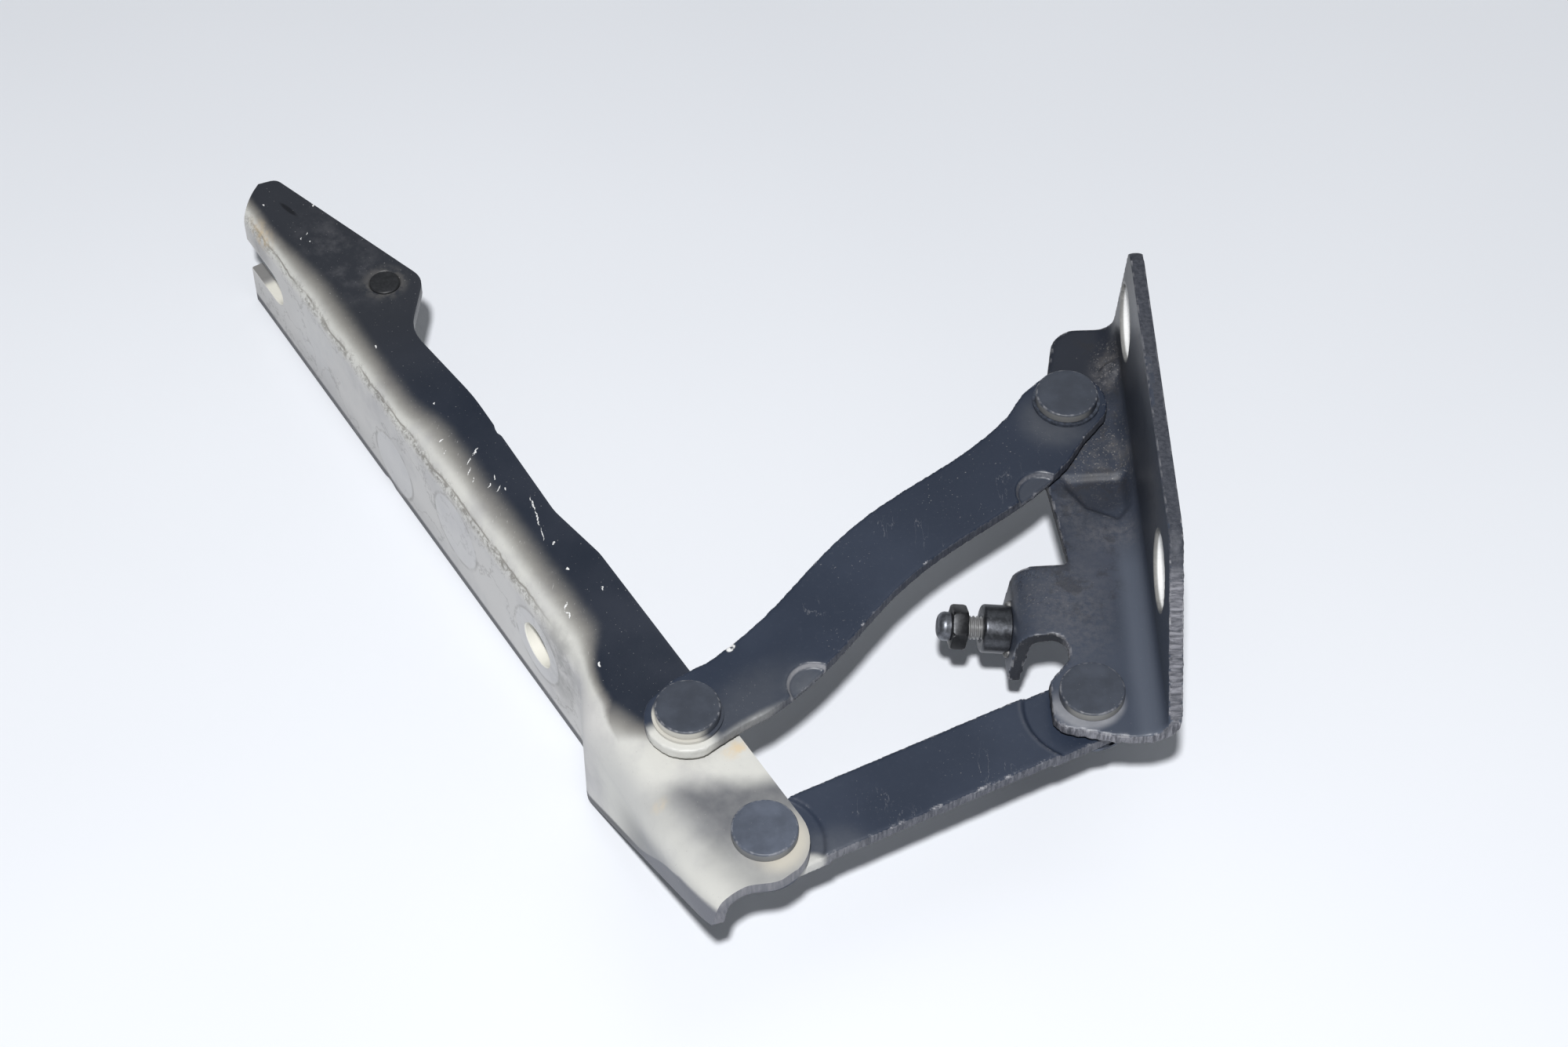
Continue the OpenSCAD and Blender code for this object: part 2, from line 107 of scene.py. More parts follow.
class Finish:
    """A material with one Principled shader, built from procedural nodes.

    where holds its Object coordinates in millimetres, axes the three of them apart, and colour the
    coats laid so far.
    """

    def __init__(self, name, origin=(0, 0, 0), turn=0.0):
        self.material = bpy.data.materials.new(name)
        self.material.use_nodes = True
        self.tree = self.material.node_tree
        self.tree.nodes.clear()
        self.colour = None
        shader = self.add("ShaderNodeBsdfPrincipled")
        self.shader = shader.socket.node
        self.add("ShaderNodeOutputMaterial", None, {"Surface": shader}, output=None)
        self.where = self.place(origin, turn)
        split = self.add("ShaderNodeSeparateXYZ", None, {0: self.where}).socket.node
        self.axes = [Signal(self, socket) for socket in split.outputs]

    def add(self, kind, settings=None, sockets=None, output=0):
        node = self.tree.nodes.new(kind)
        for key, value in (settings or {}).items():
            setattr(node, key, value)
        for key, value in (sockets or {}).items():
            self.feed(node.inputs[key], value)
        return None if output is None else Signal(self, node.outputs[output])

    def feed(self, socket, value):
        if isinstance(value, Signal):
            self.tree.links.new(value.socket, socket)
        elif socket.type == "RGBA":
            socket.default_value = (*value, 1.0)
        else:
            socket.default_value = value

    def set(self, **sockets):
        for key, value in sockets.items():
            self.feed(self.shader.inputs[key.replace("_", " ")], value)

    def place(self, origin, turn):
        """Object coordinates in millimetres from origin, turned about Z."""
        return self.add(
            "ShaderNodeMapping",
            {"vector_type": "TEXTURE"},
            {
                "Vector": self.add("ShaderNodeTexCoord", output=3),
                "Location": tuple(origin),
                "Rotation": (0, 0, turn),
                "Scale": (MM, MM, MM),
            },
        )

    def length(self, vector):
        return self.add("ShaderNodeVectorMath", {"operation": "LENGTH"}, {0: vector}, output=1)

    def stretch(self, scale, vector=None):
        return self.add("ShaderNodeMapping", None, {"Vector": vector or self.where, "Scale": scale})

    def cloud(self, scale, detail=3.0, roughness=0.55, vector=None):
        return self.add(
            "ShaderNodeTexNoise",
            None,
            {"Vector": vector or self.where, "Scale": scale, "Detail": detail, "Roughness": roughness},
        )

    def patches(self, low, high, *cloud_terms):
        """A cloud, 0 where it is under low and 1 where it is over high."""
        return self.ease(self.cloud(*cloud_terms), low, high)

    def ease(self, value, start, end):
        """0 before start, 1 after end, smooth between; start may be the larger."""
        return self.add(
            "ShaderNodeMapRange",
            {"interpolation_type": "SMOOTHSTEP"},
            {"Value": value, "From Min": start, "From Max": end},
        )

    def spot(self, centre, reach, edge=0.4, turn=0.0, vector=None):
        """1 inside an ellipsoid of that reach, fading out from edge times its size."""
        local = self.add(
            "ShaderNodeMapping",
            {"vector_type": "TEXTURE"},
            {
                "Vector": vector or self.where,
                "Location": centre,
                "Rotation": (0, 0, turn),
                "Scale": reach,
            },
        )
        return self.ease(self.length(local), 1.0, edge)

    def mix(self, factor, first, second):
        return self.add(
            "ShaderNodeMix", {"data_type": "RGBA"}, {0: factor, 6: first, 7: second}, output=2
        )

    def lay(self, mask, tone):
        """Lays a tone over the finish's colour where the mask is high."""
        self.colour = self.mix(mask, self.colour, tone)

    def marked(self, name):
        """A number kept on the piece's faces."""
        return self.add("ShaderNodeAttribute", {"attribute_name": name}, output=2)

    def bump(self, height, distance, strength=1.0, under=None):
        sockets = {"Height": height, "Distance": distance * MM, "Strength": strength}
        if under is not None:
            sockets["Normal"] = under
        return self.add("ShaderNodeBump", None, sockets)


def grey(value, tint=(1.0, 1.0, 1.0)):
    return tuple(value * part for part in tint)


NAVY = (0.022, 0.031, 0.053)
NAVY_LIT = (0.034, 0.045, 0.072)
PRIMER = (0.66, 0.655, 0.615)
PRIMER_COOL = (0.61, 0.60, 0.585)
DUST = (0.42, 0.41, 0.40)
BARE = (0.36, 0.36, 0.38)
CHIP = (0.88, 0.88, 0.87)
GRIME = (0.10, 0.085, 0.065)
RUST = (0.72, 0.55, 0.32)
CRACK = (0.008, 0.009, 0.012)
SHEARED_DARK = (0.060, 0.062, 0.074)
SHEARED_PALE = (0.28, 0.28, 0.31)
NAVY_TINT = (0.86, 1.0, 1.32)
PLATED = (0.95, 1.0, 1.12)


def worn_edges(finish, amount):
    """Bright breaks in the paint on the rounded edges."""
    rare = 0.68 - 0.28 * amount
    return finish.marked("worn") * finish.patches(rare, rare + 0.16, 0.35, 5.0, 0.6)


def specks(finish, mask, scale, rare):
    """Fine pale dust grains inside a mask."""
    return finish.patches(rare, rare + 0.05, scale, 1.0) * mask


def cracks(finish, scale, width, vector=None):
    """Thin wandering lines."""
    return finish.ease(abs(finish.cloud(scale, 5.0, 0.6, vector) - 0.5), width, width * 0.3)


def sheared_side(finish, across):
    """Grey striped tone of a sheet's sheared side, and its height for a bump; across scales the stripes."""
    torn = finish.cloud(1.0, 4.0, 0.65, finish.stretch(across))
    return finish.mix(finish.ease(torn, 0.34, 0.70), SHEARED_DARK, SHEARED_PALE), torn


# Scales for stripes that run along X and along Z
ACROSS_X = (0.15, 1.3, 1.3)
ACROSS_Z = (1.3, 1.3, 0.15)


def link_coat(name, haze, chips, rings, bare_side, wear):
    """Navy satin paint of a link.

    haze: places of primer mist, one of them also a painted sheen, as centre, reach, edge, amount and turn.
    chips: x, y and size.
    rings: pale rings, as centre, radius and amount: painted highlights on the walls of dents, and on a
    joggle's step wear with a painted highlight. bare_side, wear: how bare its sides and edges are.
    """
    coat = Finish(name, (0, 0, WEB_Z))
    tone = coat.cloud(0.03, 4.0)
    coat.colour = coat.mix(coat.ease(tone, 0.3, 0.75), NAVY, NAVY_LIT)
    fine = coat.cloud(0.8, 4.0)
    coat.lay(coat.ease(fine, 0.55, 0.9) * 0.25, (0.085, 0.095, 0.125))
    # Painted shade: the upper link darker towards its north end.
    north_shade = coat.ease(coat.axes[1], -32, 14)
    coat.lay(north_shade * 0.42, (0.011, 0.017, 0.034))
    side = coat.marked("rim")
    torn_tone, torn = sheared_side(coat, ACROSS_Z)
    coat.lay(side * bare_side, torn_tone)
    mottle = 0.7 + 0.6 * coat.cloud(0.35)
    for centre, reach, edge, amount, turn in haze:
        mist = coat.ease(coat.spot(centre, reach, edge, turn) * mottle, 0.05, 0.95)
        coat.lay(mist * amount, PRIMER)
    dusty = coat.patches(0.45, 0.75, 0.05, 2.0)
    coat.lay(specks(coat, dusty * 0.6, 1.8, 0.71), DUST)
    scratch = cracks(coat, 0.16, 0.006, coat.stretch((1.0, 0.25, 1.0)))
    scratch = scratch * coat.patches(0.58, 0.7, 0.07)
    coat.lay(scratch * 0.22, BARE)
    coat.lay(worn_edges(coat, wear), BARE)
    for x, y, size in chips:
        chip = coat.spot((x, y, 4), (size, size * 1.6, 6), 0.7, math.radians(-30))
        coat.lay(chip * coat.patches(0.35, 0.5, 0.9), CHIP)
    # Pale rings: painted highlights on dent walls; on the joggle's step, wear with a painted highlight.
    for centre, radius, amount in rings:
        ring = coat.spot(centre, (radius + 0.7, radius + 0.7, 5), 0.93)
        ring = ring - coat.spot(centre, (radius, radius, 5), 0.93)
        coat.lay(ring * amount, BARE)
    relief = coat.bump(fine + 0.6 * coat.cloud(0.25), 0.05, 0.5)
    coat.set(
        Base_Color=coat.colour,
        Roughness=coat.ease(tone, 0.2, 0.8) * 0.12 + 0.34 + 0.25 * side,
        Normal=coat.bump(torn * side, 0.25, 0.7, relief),
    )
    return coat.material


# Bolt holes of the bracket, along its flange and above its web
BODY_HOLES = (-41.0, 41.0)
BODY_HOLE_Z = 20.0
BODY_HOLE_R = 9.5
# Films of dust on the bracket, and a painted highlight on the dart: centre, reach and amount
DUST_AND_HIGHLIGHT_FILMS = (
    ((-23, -37, 0), (16, 28, 9), 0.55),
    ((-11, -13, 0), (15, 9, 6), 0.65),
    ((-21, -5, 0), (8, 9, 6), 0.5),
    # On the dart: a painted highlight, over dust
    ((-7, 40, 1), (7, 10, 7), 0.65),
    ((-3.5, -24, 27), (7, 24, 17), 0.6),
    ((-3.5, 14, 38), (7, 28, 12), 0.6),
)


def bracket_tones(coat):
    """The bracket's navy, lighter and darker in broad parts: a painted sheen towards the south, painted
    shade towards the north, on the flange away from its south end and in the pressed pocket, and a lighter
    patch mid-web; gives its cloud and the sunk part.
    """
    _, y, z = coat.axes
    tone = coat.cloud(0.05, 4.0)
    coat.colour = coat.mix(coat.ease(tone, 0.3, 0.75), (0.030, 0.037, 0.054), (0.050, 0.060, 0.086))
    # Painted sheen: lighter towards the south.
    south = coat.ease(y, 0.0, -62.0)
    coat.lay(south * 0.6, (0.062, 0.076, 0.108))
    # Painted shade: darker towards the north.
    north_shade = coat.ease(y, 26.0, 40.0)
    coat.lay(north_shade * 0.85, (0.013, 0.016, 0.025))
    # Painted shade on the flange, away from its south end.
    inner = coat.ease(z, 3.0, 9.0) * coat.ease(z, 36.0, 20.0) * coat.ease(y, -52.0, -28.0)
    coat.lay(inner * 0.45, (0.020, 0.022, 0.030))
    middle_part = coat.spot((-14, -24, 0), (13, 18, 5), 0.1)
    coat.lay(middle_part * 0.3, (0.085, 0.092, 0.118))
    # Painted shade in the pressed pocket.
    sunk = coat.spot((-12.2, 1.6, 0), (10.4, 8.2, 5), 0.6)
    coat.lay(sunk * 0.7, (0.022, 0.026, 0.038))
    return tone, sunk


def bracket_dust(coat, sunk):
    """Dust and dirt on the bracket, thickest round the upper pivot, and a painted highlight on the dart;
    gives how dusty it is.
    """
    _, y, z = coat.axes
    dusty = coat.spot((-12, 13, 0), (16, 26, 12), 0.1)
    dusty = (dusty * (1 - 0.75 * sunk)).larger(0.3 * coat.spot((-30, -31, 0), (14, 16, 12), 0.2))
    dusty = dusty.larger(coat.spot((-6, 43, 2), (7, 12, 7), 0.2))
    patch = coat.patches(0.42, 0.75, 0.22, 5.0, 0.65)
    coat.lay(dusty * patch * 0.62, (0.170, 0.160, 0.155))
    coat.lay(specks(coat, dusty * 0.8, 1.7, 0.63), (0.25, 0.238, 0.228))
    grains = coat.patches(0.32, 0.68, 0.55, 6.0, 0.75)
    # Dust films; the one on the dart is a painted highlight.
    for centre, reach, amount in DUST_AND_HIGHLIGHT_FILMS:
        film = coat.spot(centre, reach, 0.0) * grains * amount
        coat.lay(film, (0.142, 0.140, 0.150))
    stain = coat.patches(0.50, 0.62, 0.11, 5.0, 0.7) * coat.ease(y, -50, -30) * coat.ease(z, 3, 1)
    coat.lay(stain * 0.45, (0.020, 0.020, 0.024))
    coat.lay(specks(coat, 0.5, 1.4, 0.76), DUST)
    return dusty


def bracket_marks(coat):
    """Primer mist round the lower rivet, the shine of the bend and a crack on the lug."""
    x, y, z = coat.axes
    b = PIVOT_B / MM
    mist = coat.spot((b.x - 1.2, b.y - 1.6, 0), (10.2, 9.6, 4), 0.76)
    mist = mist * coat.ease(y, b.y + 3, b.y - 5) * (0.55 + 0.8 * coat.cloud(0.3))
    coat.lay(mist * 0.4, (0.58, 0.58, 0.60))
    sheen = coat.ease(abs(x + 7.0), 5.5, 1.0) * coat.ease(y, -8.0, -26.0) * coat.ease(z, 5.0, 1.0)
    coat.lay(sheen * 0.75, (0.100, 0.116, 0.150))
    line = cracks(coat, 0.12, 0.004) * coat.spot((-31, -28, 0), (9, 9, 4), 0.5)
    coat.lay(line * 0.8, CRACK)


def bracket_sides(coat, fine):
    """Sheared sides of the bracket, rough and bare at its south end; gives their height for a bump."""
    _, y, z = coat.axes
    side = coat.marked("rim")
    on_flange = coat.ease(z, 3, 6)
    flange_tone, torn_flange = sheared_side(coat, ACROSS_X)
    web_tone, torn_web = sheared_side(coat, ACROSS_Z)
    torn_tone = coat.mix(on_flange, web_tone, flange_tone)
    torn = torn_flange.larger(torn_web)
    torn_part = coat.ease(y, -50.0, -56.0) * coat.ease(z, 2.0, 8.0)
    torn_part = torn_part.larger(coat.ease(y, -66.0, -72.0))
    torn_part = torn_part.larger(coat.spot((-22, -51, -2), (8, 8, 5), 0.6))
    rim_tone = coat.mix(coat.ease(fine, 0.35, 0.65), (0.034, 0.038, 0.050), (0.066, 0.070, 0.086))
    side_tone = coat.mix(coat.ease(z, 3, 9), (0.014, 0.016, 0.022), rim_tone)
    side_tone = coat.mix(torn_part, side_tone, torn_tone)
    coat.lay(side * 0.9, side_tone)
    coat.lay(worn_edges(coat, 0.75) * 0.75, BARE)
    return torn * side


def bracket_holes(coat):
    """A worn ring round each bolt hole, and the hole's bare wall, lightened near white as a painted
    highlight.
    """
    x = coat.axes[0]
    deep = coat.ease(x, -2.9, -2.3)
    for hole in BODY_HOLES:
        centre = (-1.75, hole, BODY_HOLE_Z)
        for reach, edge, share, shown in (
            (BODY_HOLE_R + 1.2, 0.96, 0.8, (0.30, 0.295, 0.28)),
            # The hole's wall: bare metal, lightened near white as a painted highlight.
            (BODY_HOLE_R + 0.4, 0.98, deep, (0.84, 0.84, 0.83)),
        ):
            coat.lay(coat.spot(centre, (40, reach, reach), edge) * share, shown)


def bracket_coat():
    """Navy paint of the body bracket, dusty round the upper pivot, bare and rough on its sheared rim."""
    coat = Finish("bracket_coat", (0, 0, WEB_Z))
    tone, sunk = bracket_tones(coat)
    dusty = bracket_dust(coat, sunk)
    bracket_marks(coat)
    fine = coat.cloud(0.9, 5.0, 0.65)
    torn = bracket_sides(coat, fine)
    bracket_holes(coat)
    relief = coat.bump(fine, 0.08, 0.6)
    coat.set(
        Base_Color=coat.colour,
        Roughness=0.36 + 0.28 * dusty + 0.10 * coat.ease(tone, 0.2, 0.8) + 0.2 * coat.marked("rim"),
        Normal=coat.bump(torn, 0.3, 0.8, relief),
    )
    return coat.material


def scratch_lines(finish, lines):
    """Thin bright strokes: each is centre x, y, half length, half width and heading in degrees."""
    marks = None
    sway = finish.add("ShaderNodeTexNoise", None, {"Vector": finish.where, "Scale": 0.6}, 1)
    bent = finish.add(
        "ShaderNodeVectorMath",
        {"operation": "ADD"},
        {0: finish.where, 1: finish.stretch((1.6, 1.6, 0), sway)},
    )
    for x, y, reach, width, heading in lines:
        centre = (x + 0.8, y + 0.8, 0)
        stroke = finish.spot(centre, (reach, width, 3.0), 0.7, math.radians(heading), bent)
        marks = stroke if marks is None else marks.larger(stroke)
    return marks * finish.patches(0.38, 0.46, 1.6)


# Bright scratches on the arm, as scratch_lines takes them
ARM_STROKES = (
    (150, 5.5, 0.8, 0.28, -20), (124, 2, 0.5, 0.19, -60), (104, 1, 1.8, 0.22, -55), (102, 4, 1.4, 0.15, -45),
    (99, 5.5, 1.5, 0.15, -42), (96, 6, 0.9, 0.14, -40), (112, 6.5, 0.9, 0.19, -70),
    (108, 7.5, 0.7, 0.19, -55), (81, -3, 2.6, 0.25, -16), (76, -1.5, 2.8, 0.2, -14),
    (71, 0, 2.6, 0.14, -18), (67, -1, 0.7, 0.31, -40),
    (58, 0, 0.5, 0.22, 0), (48, -4, 0.7, 0.28, -30), (28, 8.5, 1.1, 0.37, -15), (48, 6.5, 1.4, 0.22, -40),
    (46, 7, 1.1, 0.19, 20), (45, 7, 1.2, 0.19, -30), (213, 7, 0.5, 0.25, 0), (206, -4.5, 0.9, 0.31, -20),
    (197, 2, 0.7, 0.14, -60), (196, 4, 0.7, 0.14, -25), (194, 2.5, 0.6, 0.14, -50), (90, 2, 1.2, 0.14, -65),
    (94, 1, 1, 0.15, -30), (92, 3.5, 1, 0.14, -50), (89, 0.5, 0.8, 0.14, -20),
)


def arm_spray(coat, across, drift, waist):
    """How far the pale spray covers the arm: from its bend outwards, and over its lower end."""
    x, y, _ = coat.axes
    neck = coat.ease(x, 42, 20)
    start = 3.6 - 3.6 * waist + 6.4 * neck + 4.0 * coat.ease(x, 178, 206)
    shift = 2.6 * coat.ease(x, 20, 10)
    full = 13.4 - 2.2 * waist + 1.2 * neck + shift
    pale = coat.ease(across, start + shift, full).power(1.4)
    lower = (y - 0.42 * x - 6.0 - 4.5 * coat.ease(x, 0, 8)).larger(-5.0 - x) + 3.0 * drift
    return pale.larger(coat.ease(lower, -7.0, 4.5))


def arm_dark(coat):
    """The dark paint, with dust at the far end and on the ear."""
    x = coat.axes[0]
    tone = coat.cloud(0.04, 4.0)
    dark = coat.mix(coat.ease(tone, 0.3, 0.75), (0.015, 0.021, 0.035), (0.028, 0.034, 0.050))
    far_dust = coat.spot((184, -2, 0), (30, 13, 8), 0.1)
    far_dust = far_dust * coat.patches(0.42, 0.72, 0.16, 5.0, 0.7)
    dark = coat.mix(coat.ease(x, 118, 165) * 0.7, dark, (0.034, 0.036, 0.042))
    dark = coat.mix(far_dust * 0.5, dark, (0.12, 0.12, 0.13))
    ear = coat.spot((STUD_AT, -STUD_IN, 0), (7.6, 7.6, 3), 0.55)
    dark = coat.mix(ear * coat.patches(0.3, 0.6, 0.4, 4.0) * 0.6, dark, (0.13, 0.125, 0.12))
    return dark


def arm_light(coat, across):
    """The pale coat with its mottle, soot and greyer parts."""
    x = coat.axes[0]
    down = coat.ease(across, 13.5, 18.5) * coat.ease(x, 0, 20)
    light = coat.mix(down, PRIMER, PRIMER_COOL)
    mottle = coat.cloud(0.06, 5.0, 0.6)
    light = coat.mix(coat.ease(mottle, 0.42, 0.72) * 0.5, light, (0.40, 0.395, 0.41))
    light = coat.mix(coat.patches(0.55, 0.75, 0.03, 2.0) * 0.4, light, (0.72, 0.72, 0.71))
    grey_side = coat.spot((-4, 21, -3), (26, 7, 9), 0.1)
    light = coat.mix(grey_side * 0.45, light, (0.40, 0.405, 0.42))
    soot = coat.spot((41, 13, -13), (14, 8, 22), 0.1)
    soot = soot * coat.patches(0.30, 0.60, 0.12, 5.0, 0.65)
    light = coat.mix(soot * 0.75, light, (0.24, 0.235, 0.225))
    over_slot = coat.spot((206, FLANGE_IN, -9), (9, 5, 6), 0.2)
    light = coat.mix(over_slot * 0.45, light, (0.26, 0.255, 0.25))
    return light


def arm_shade(coat, light, drift):
    """The pale coat darkened by the smudge on the lower end and along the lip of its flange; along the
    flange's foot the dark strip is navy paint and partly a painted contact shadow.
    """
    x, y, z = coat.axes
    cloudy = 0.75 + 0.5 * coat.cloud(0.15)
    below = 0.5 * y - 20.5 - x + 5.0 * drift
    smudge = coat.ease(below, -5.5, 2.5) * coat.ease(y + 6.0 * drift, 22.0, 8.0)
    smudge = smudge * (1 - 0.42 * coat.ease(x, -25, -42)) * cloudy
    rise = (LIP_SLOPE * (LIP_FROM - x)).larger(0.0)
    foot = z + FLANGE_DEPTH - rise
    strip = (0.48 * (FLANGE_DEPTH - rise)).smaller(6.5) - 2.0
    # Dark strip along the foot: navy paint, and partly a painted contact shadow; at the lower end, paint
    # only.
    lip = coat.ease(foot - 2.7 - strip * coat.ease(x, -10, -27), 0.9, -0.7)
    soft = coat.ease(foot / (FLANGE_DEPTH - rise), 0.78, 0.3) * coat.ease(x, 4, -14)
    light = coat.mix(coat.ease(foot, 14, 3) * coat.ease(x, 60, 110) * 0.3, light, (0.34, 0.335, 0.33))
    light = coat.mix(smudge * 0.84, light, (0.080, 0.085, 0.102))
    lip_tone = coat.mix(coat.ease(x, 0, -20), (0.035, 0.038, 0.048), (0.118, 0.125, 0.155))
    return coat.mix((lip * 0.92).larger(soft * 0.6), light, lip_tone)


def arm_fringe(coat, pale, waist):
    """The spray's brown fringe, and pale bristles in it along the waist."""
    fringe = pale * (1 - pale) * 4.0
    coat.lay(fringe * 0.32, (0.135, 0.11, 0.08))
    slanted = coat.place(PIVOT_D, ARM_TURN + math.radians(-42))
    bristle = coat.cloud(1.0, 2.0, vector=coat.stretch((0.5, 2.6, 1.0), slanted))
    bristle = coat.ease(bristle, 0.66, 0.74) * coat.ease(fringe, 0.15, 0.6) * waist
    coat.lay(bristle * 0.6, (0.62, 0.61, 0.59))


def arm_dirt(coat, across, drift):
    """Dirt in cracks along the bend, and thin streaks on the flange; gives where the dirt is."""
    x = coat.axes[0]
    beyond = coat.ease(x, 40, 62)
    line = coat.ease(abs(across - 13.8 + 3.0 * drift), 0.55, 0.12) * beyond
    dirt = line * coat.patches(0.36, 0.50, 0.10, 4.0, 0.6)
    spread = coat.ease(abs(across - 14.6), 2.4, 0.3) * coat.patches(0.42, 0.60, 0.7, 5.0, 0.7)
    dirt = dirt.larger(spread * coat.patches(0.34, 0.50, 0.06) * beyond)
    wide = coat.ease(abs(across - 15.0), 4.0, 0.5) * beyond
    dirt = dirt.larger(wide * cracks(coat, 0.16, 0.012) * 0.8)
    coat.lay(dirt * 0.62, GRIME)
    streak = cracks(coat, 0.035, 0.008) * coat.ease(across, 15, 19) * coat.ease(x, 20, 40)
    coat.lay(streak * 0.35, (0.22, 0.21, 0.20))
    return dirt


def arm_marks(coat):
    """Marks of washers on the flange, stains, a slit, primer round the lower rivet, and scratches."""
    x, y, _ = coat.axes
    for centre_x, centre_z, radius in ((96, -16.5, 11), (131, -25, 10), (HOLE_AT, BOLT_LEVEL, 11.0)):
        centre = (centre_x, FLANGE_IN, centre_z)
        mark = coat.spot(centre, (radius, 6, radius), 0.94)
        rim = coat.spot(centre, (radius + 1.0, 6, radius + 1.0), 0.93) - mark
        coat.lay(rim * coat.patches(0.35, 0.6, 0.25, 4.0) * 0.5, (0.25, 0.24, 0.23))
        coat.lay(mark * 0.4, (0.64, 0.64, 0.65))
    stains = coat.spot((-15, 17.5, 0), (2.5, 4, 5), 0.1) * 0.5
    stains = stains.larger(coat.spot((-11.5, -7.0, 0), (3.5, 6, 4), 0.1))
    stains = stains.larger(coat.spot((206, 12, -3), (9, 4, 5), 0.1) * 0.9)
    stains = stains * coat.patches(0.3, 0.65, 0.35, 4.0)
    coat.lay(stains * 0.7, RUST)
    slit = coat.spot((207.8, 2.0, 0), (4.4, 0.9, 2.0), 0.5, math.radians(13))
    coat.lay(slit * 0.8, CRACK)
    halo = coat.spot((LOWER_AT.x - 1.5, LOWER_AT.y, 0), (12.0, 12.0, 4), 0.62)
    halo = halo * coat.ease(x, LOWER_AT.x + 5, LOWER_AT.x - 5)
    halo = halo * coat.ease(y, 9, 2)
    coat.lay(halo * 0.8, (0.62, 0.58, 0.49))
    coat.lay(specks(coat, 0.6, 2.0, 0.73), DUST)
    coat.lay(scratch_lines(coat, ARM_STROKES), CHIP)


def arm_sides(coat):
    """Sheared sides of the arm, and the walls of its hole and slot, with painted shade on the slot's walls
    toward its open end.
    """
    x, y, z = coat.axes
    side = coat.marked("rim")
    torn = sheared_side(coat, ACROSS_Z)[1]
    worn_end = coat.mix(coat.ease(torn, 0.35, 0.7), (0.115, 0.12, 0.145), (0.20, 0.20, 0.22))
    side_tone = coat.mix(coat.ease(x, 0, -20), (0.024, 0.027, 0.036), worn_end)
    coat.lay(side * 0.9, side_tone)
    within = coat.ease(abs(y - FLANGE_IN + SHEET / 2), SHEET / 2 - 0.02, SHEET / 2 - 0.2)
    within = within * coat.ease(abs(z - BOLT_LEVEL), 6.7, 6.4)
    wall = coat.ease(abs(x - HOLE_AT), 6.8, 6.5).larger(coat.ease(abs(x - SLOT_AT), 8.0, 6.0))
    coat.lay(within * wall, (0.80, 0.78, 0.70))
    # Painted shade on the slot's walls toward its open end.
    coat.lay(within * coat.ease(x, SLOT_AT + 5.0, SLOT_AT + 9.0), (0.24, 0.235, 0.23))
    coat.lay(worn_edges(coat, 0.35) * 0.8, BARE)


def arm_coat():
    """Navy paint of the arm with pale primer over its flange, bend and lower end."""
    coat = Finish("arm_coat", PIVOT_D, ARM_TURN)
    x, y, z = coat.axes
    drift = coat.cloud(0.07) - 0.5
    # Way across the sheet, over the bend
    across = y - 0.75 * z + 1.8 * drift + 0.7 * (coat.cloud(0.6, 4.0) - 0.5)
    waist = coat.ease(x, 130, 113) * coat.ease(x, 27, 39)
    pale = arm_spray(coat, across, drift, waist)
    light = arm_shade(coat, arm_light(coat, across), drift)
    coat.colour = coat.mix(pale, arm_dark(coat), light)
    arm_fringe(coat, pale, waist)
    dirt = arm_dirt(coat, across, drift)
    arm_marks(coat)
    arm_sides(coat)
    fine = coat.cloud(0.9, 4.0)
    coat.set(
        Base_Color=coat.colour,
        Roughness=0.36 + 0.16 * pale + 0.18 * dirt,
        Normal=coat.bump(fine + 0.8 * coat.cloud(0.2), 0.05, 0.5),
    )
    return coat.material


# Rivet heads: radius, height and the upper ones' seat above the webs
HEAD_R, HEAD_H = 8.0, 2.8
UPPER_SEAT = 6.1


def head_top_of(pivot):
    """Height of a rivet head's top above the webs, in millimetres."""
    return HEAD_H + (UPPER_SEAT if pivot in (PIVOT_A, PIVOT_D) else 0.0)


def head_coat(name, pivot, tone, crescent, crescent_dir):
    """Paint of a rivet; a pale crescent of primer lies on the side of its rim at crescent_dir degrees."""
    finish = Finish(name, pivot)
    x, y, z = finish.axes
    mottle = finish.cloud(0.16, 5.0, 0.6)
    low, high = grey(tone * 0.8, NAVY_TINT), grey(tone * 1.15, NAVY_TINT)
    finish.colour = finish.mix(finish.ease(mottle, 0.3, 0.75), low, high)
    ring = finish.cloud(0.7)
    finish.lay(specks(finish, 0.35, 1.8, 0.75), DUST)
    heading = math.radians(crescent_dir)
    toward = x * math.cos(heading) + y * math.sin(heading)
    top = z - head_top_of(pivot)
    pale = finish.ease(toward + 0.6 * (ring - 0.5), 2.0, 5.5) * finish.ease(top, -0.15, -0.75)
    finish.lay(pale * crescent, (0.62, 0.60, 0.54))
    off_rim = abs(finish.length(finish.stretch((1, 1, 0))) - HEAD_R + 0.25)
    worn = finish.ease(off_rim, 0.35, 0.1) * finish.ease(top, -0.9, -0.2) * finish.ease(ring, 0.44, 0.66)
    finish.lay(worn * 0.45, BARE)
    finish.set(
        Base_Color=finish.colour,
        Roughness=0.38 + 0.14 * mottle,
        Normal=finish.bump(ring, 0.05, 0.5),
    )
    return finish.material


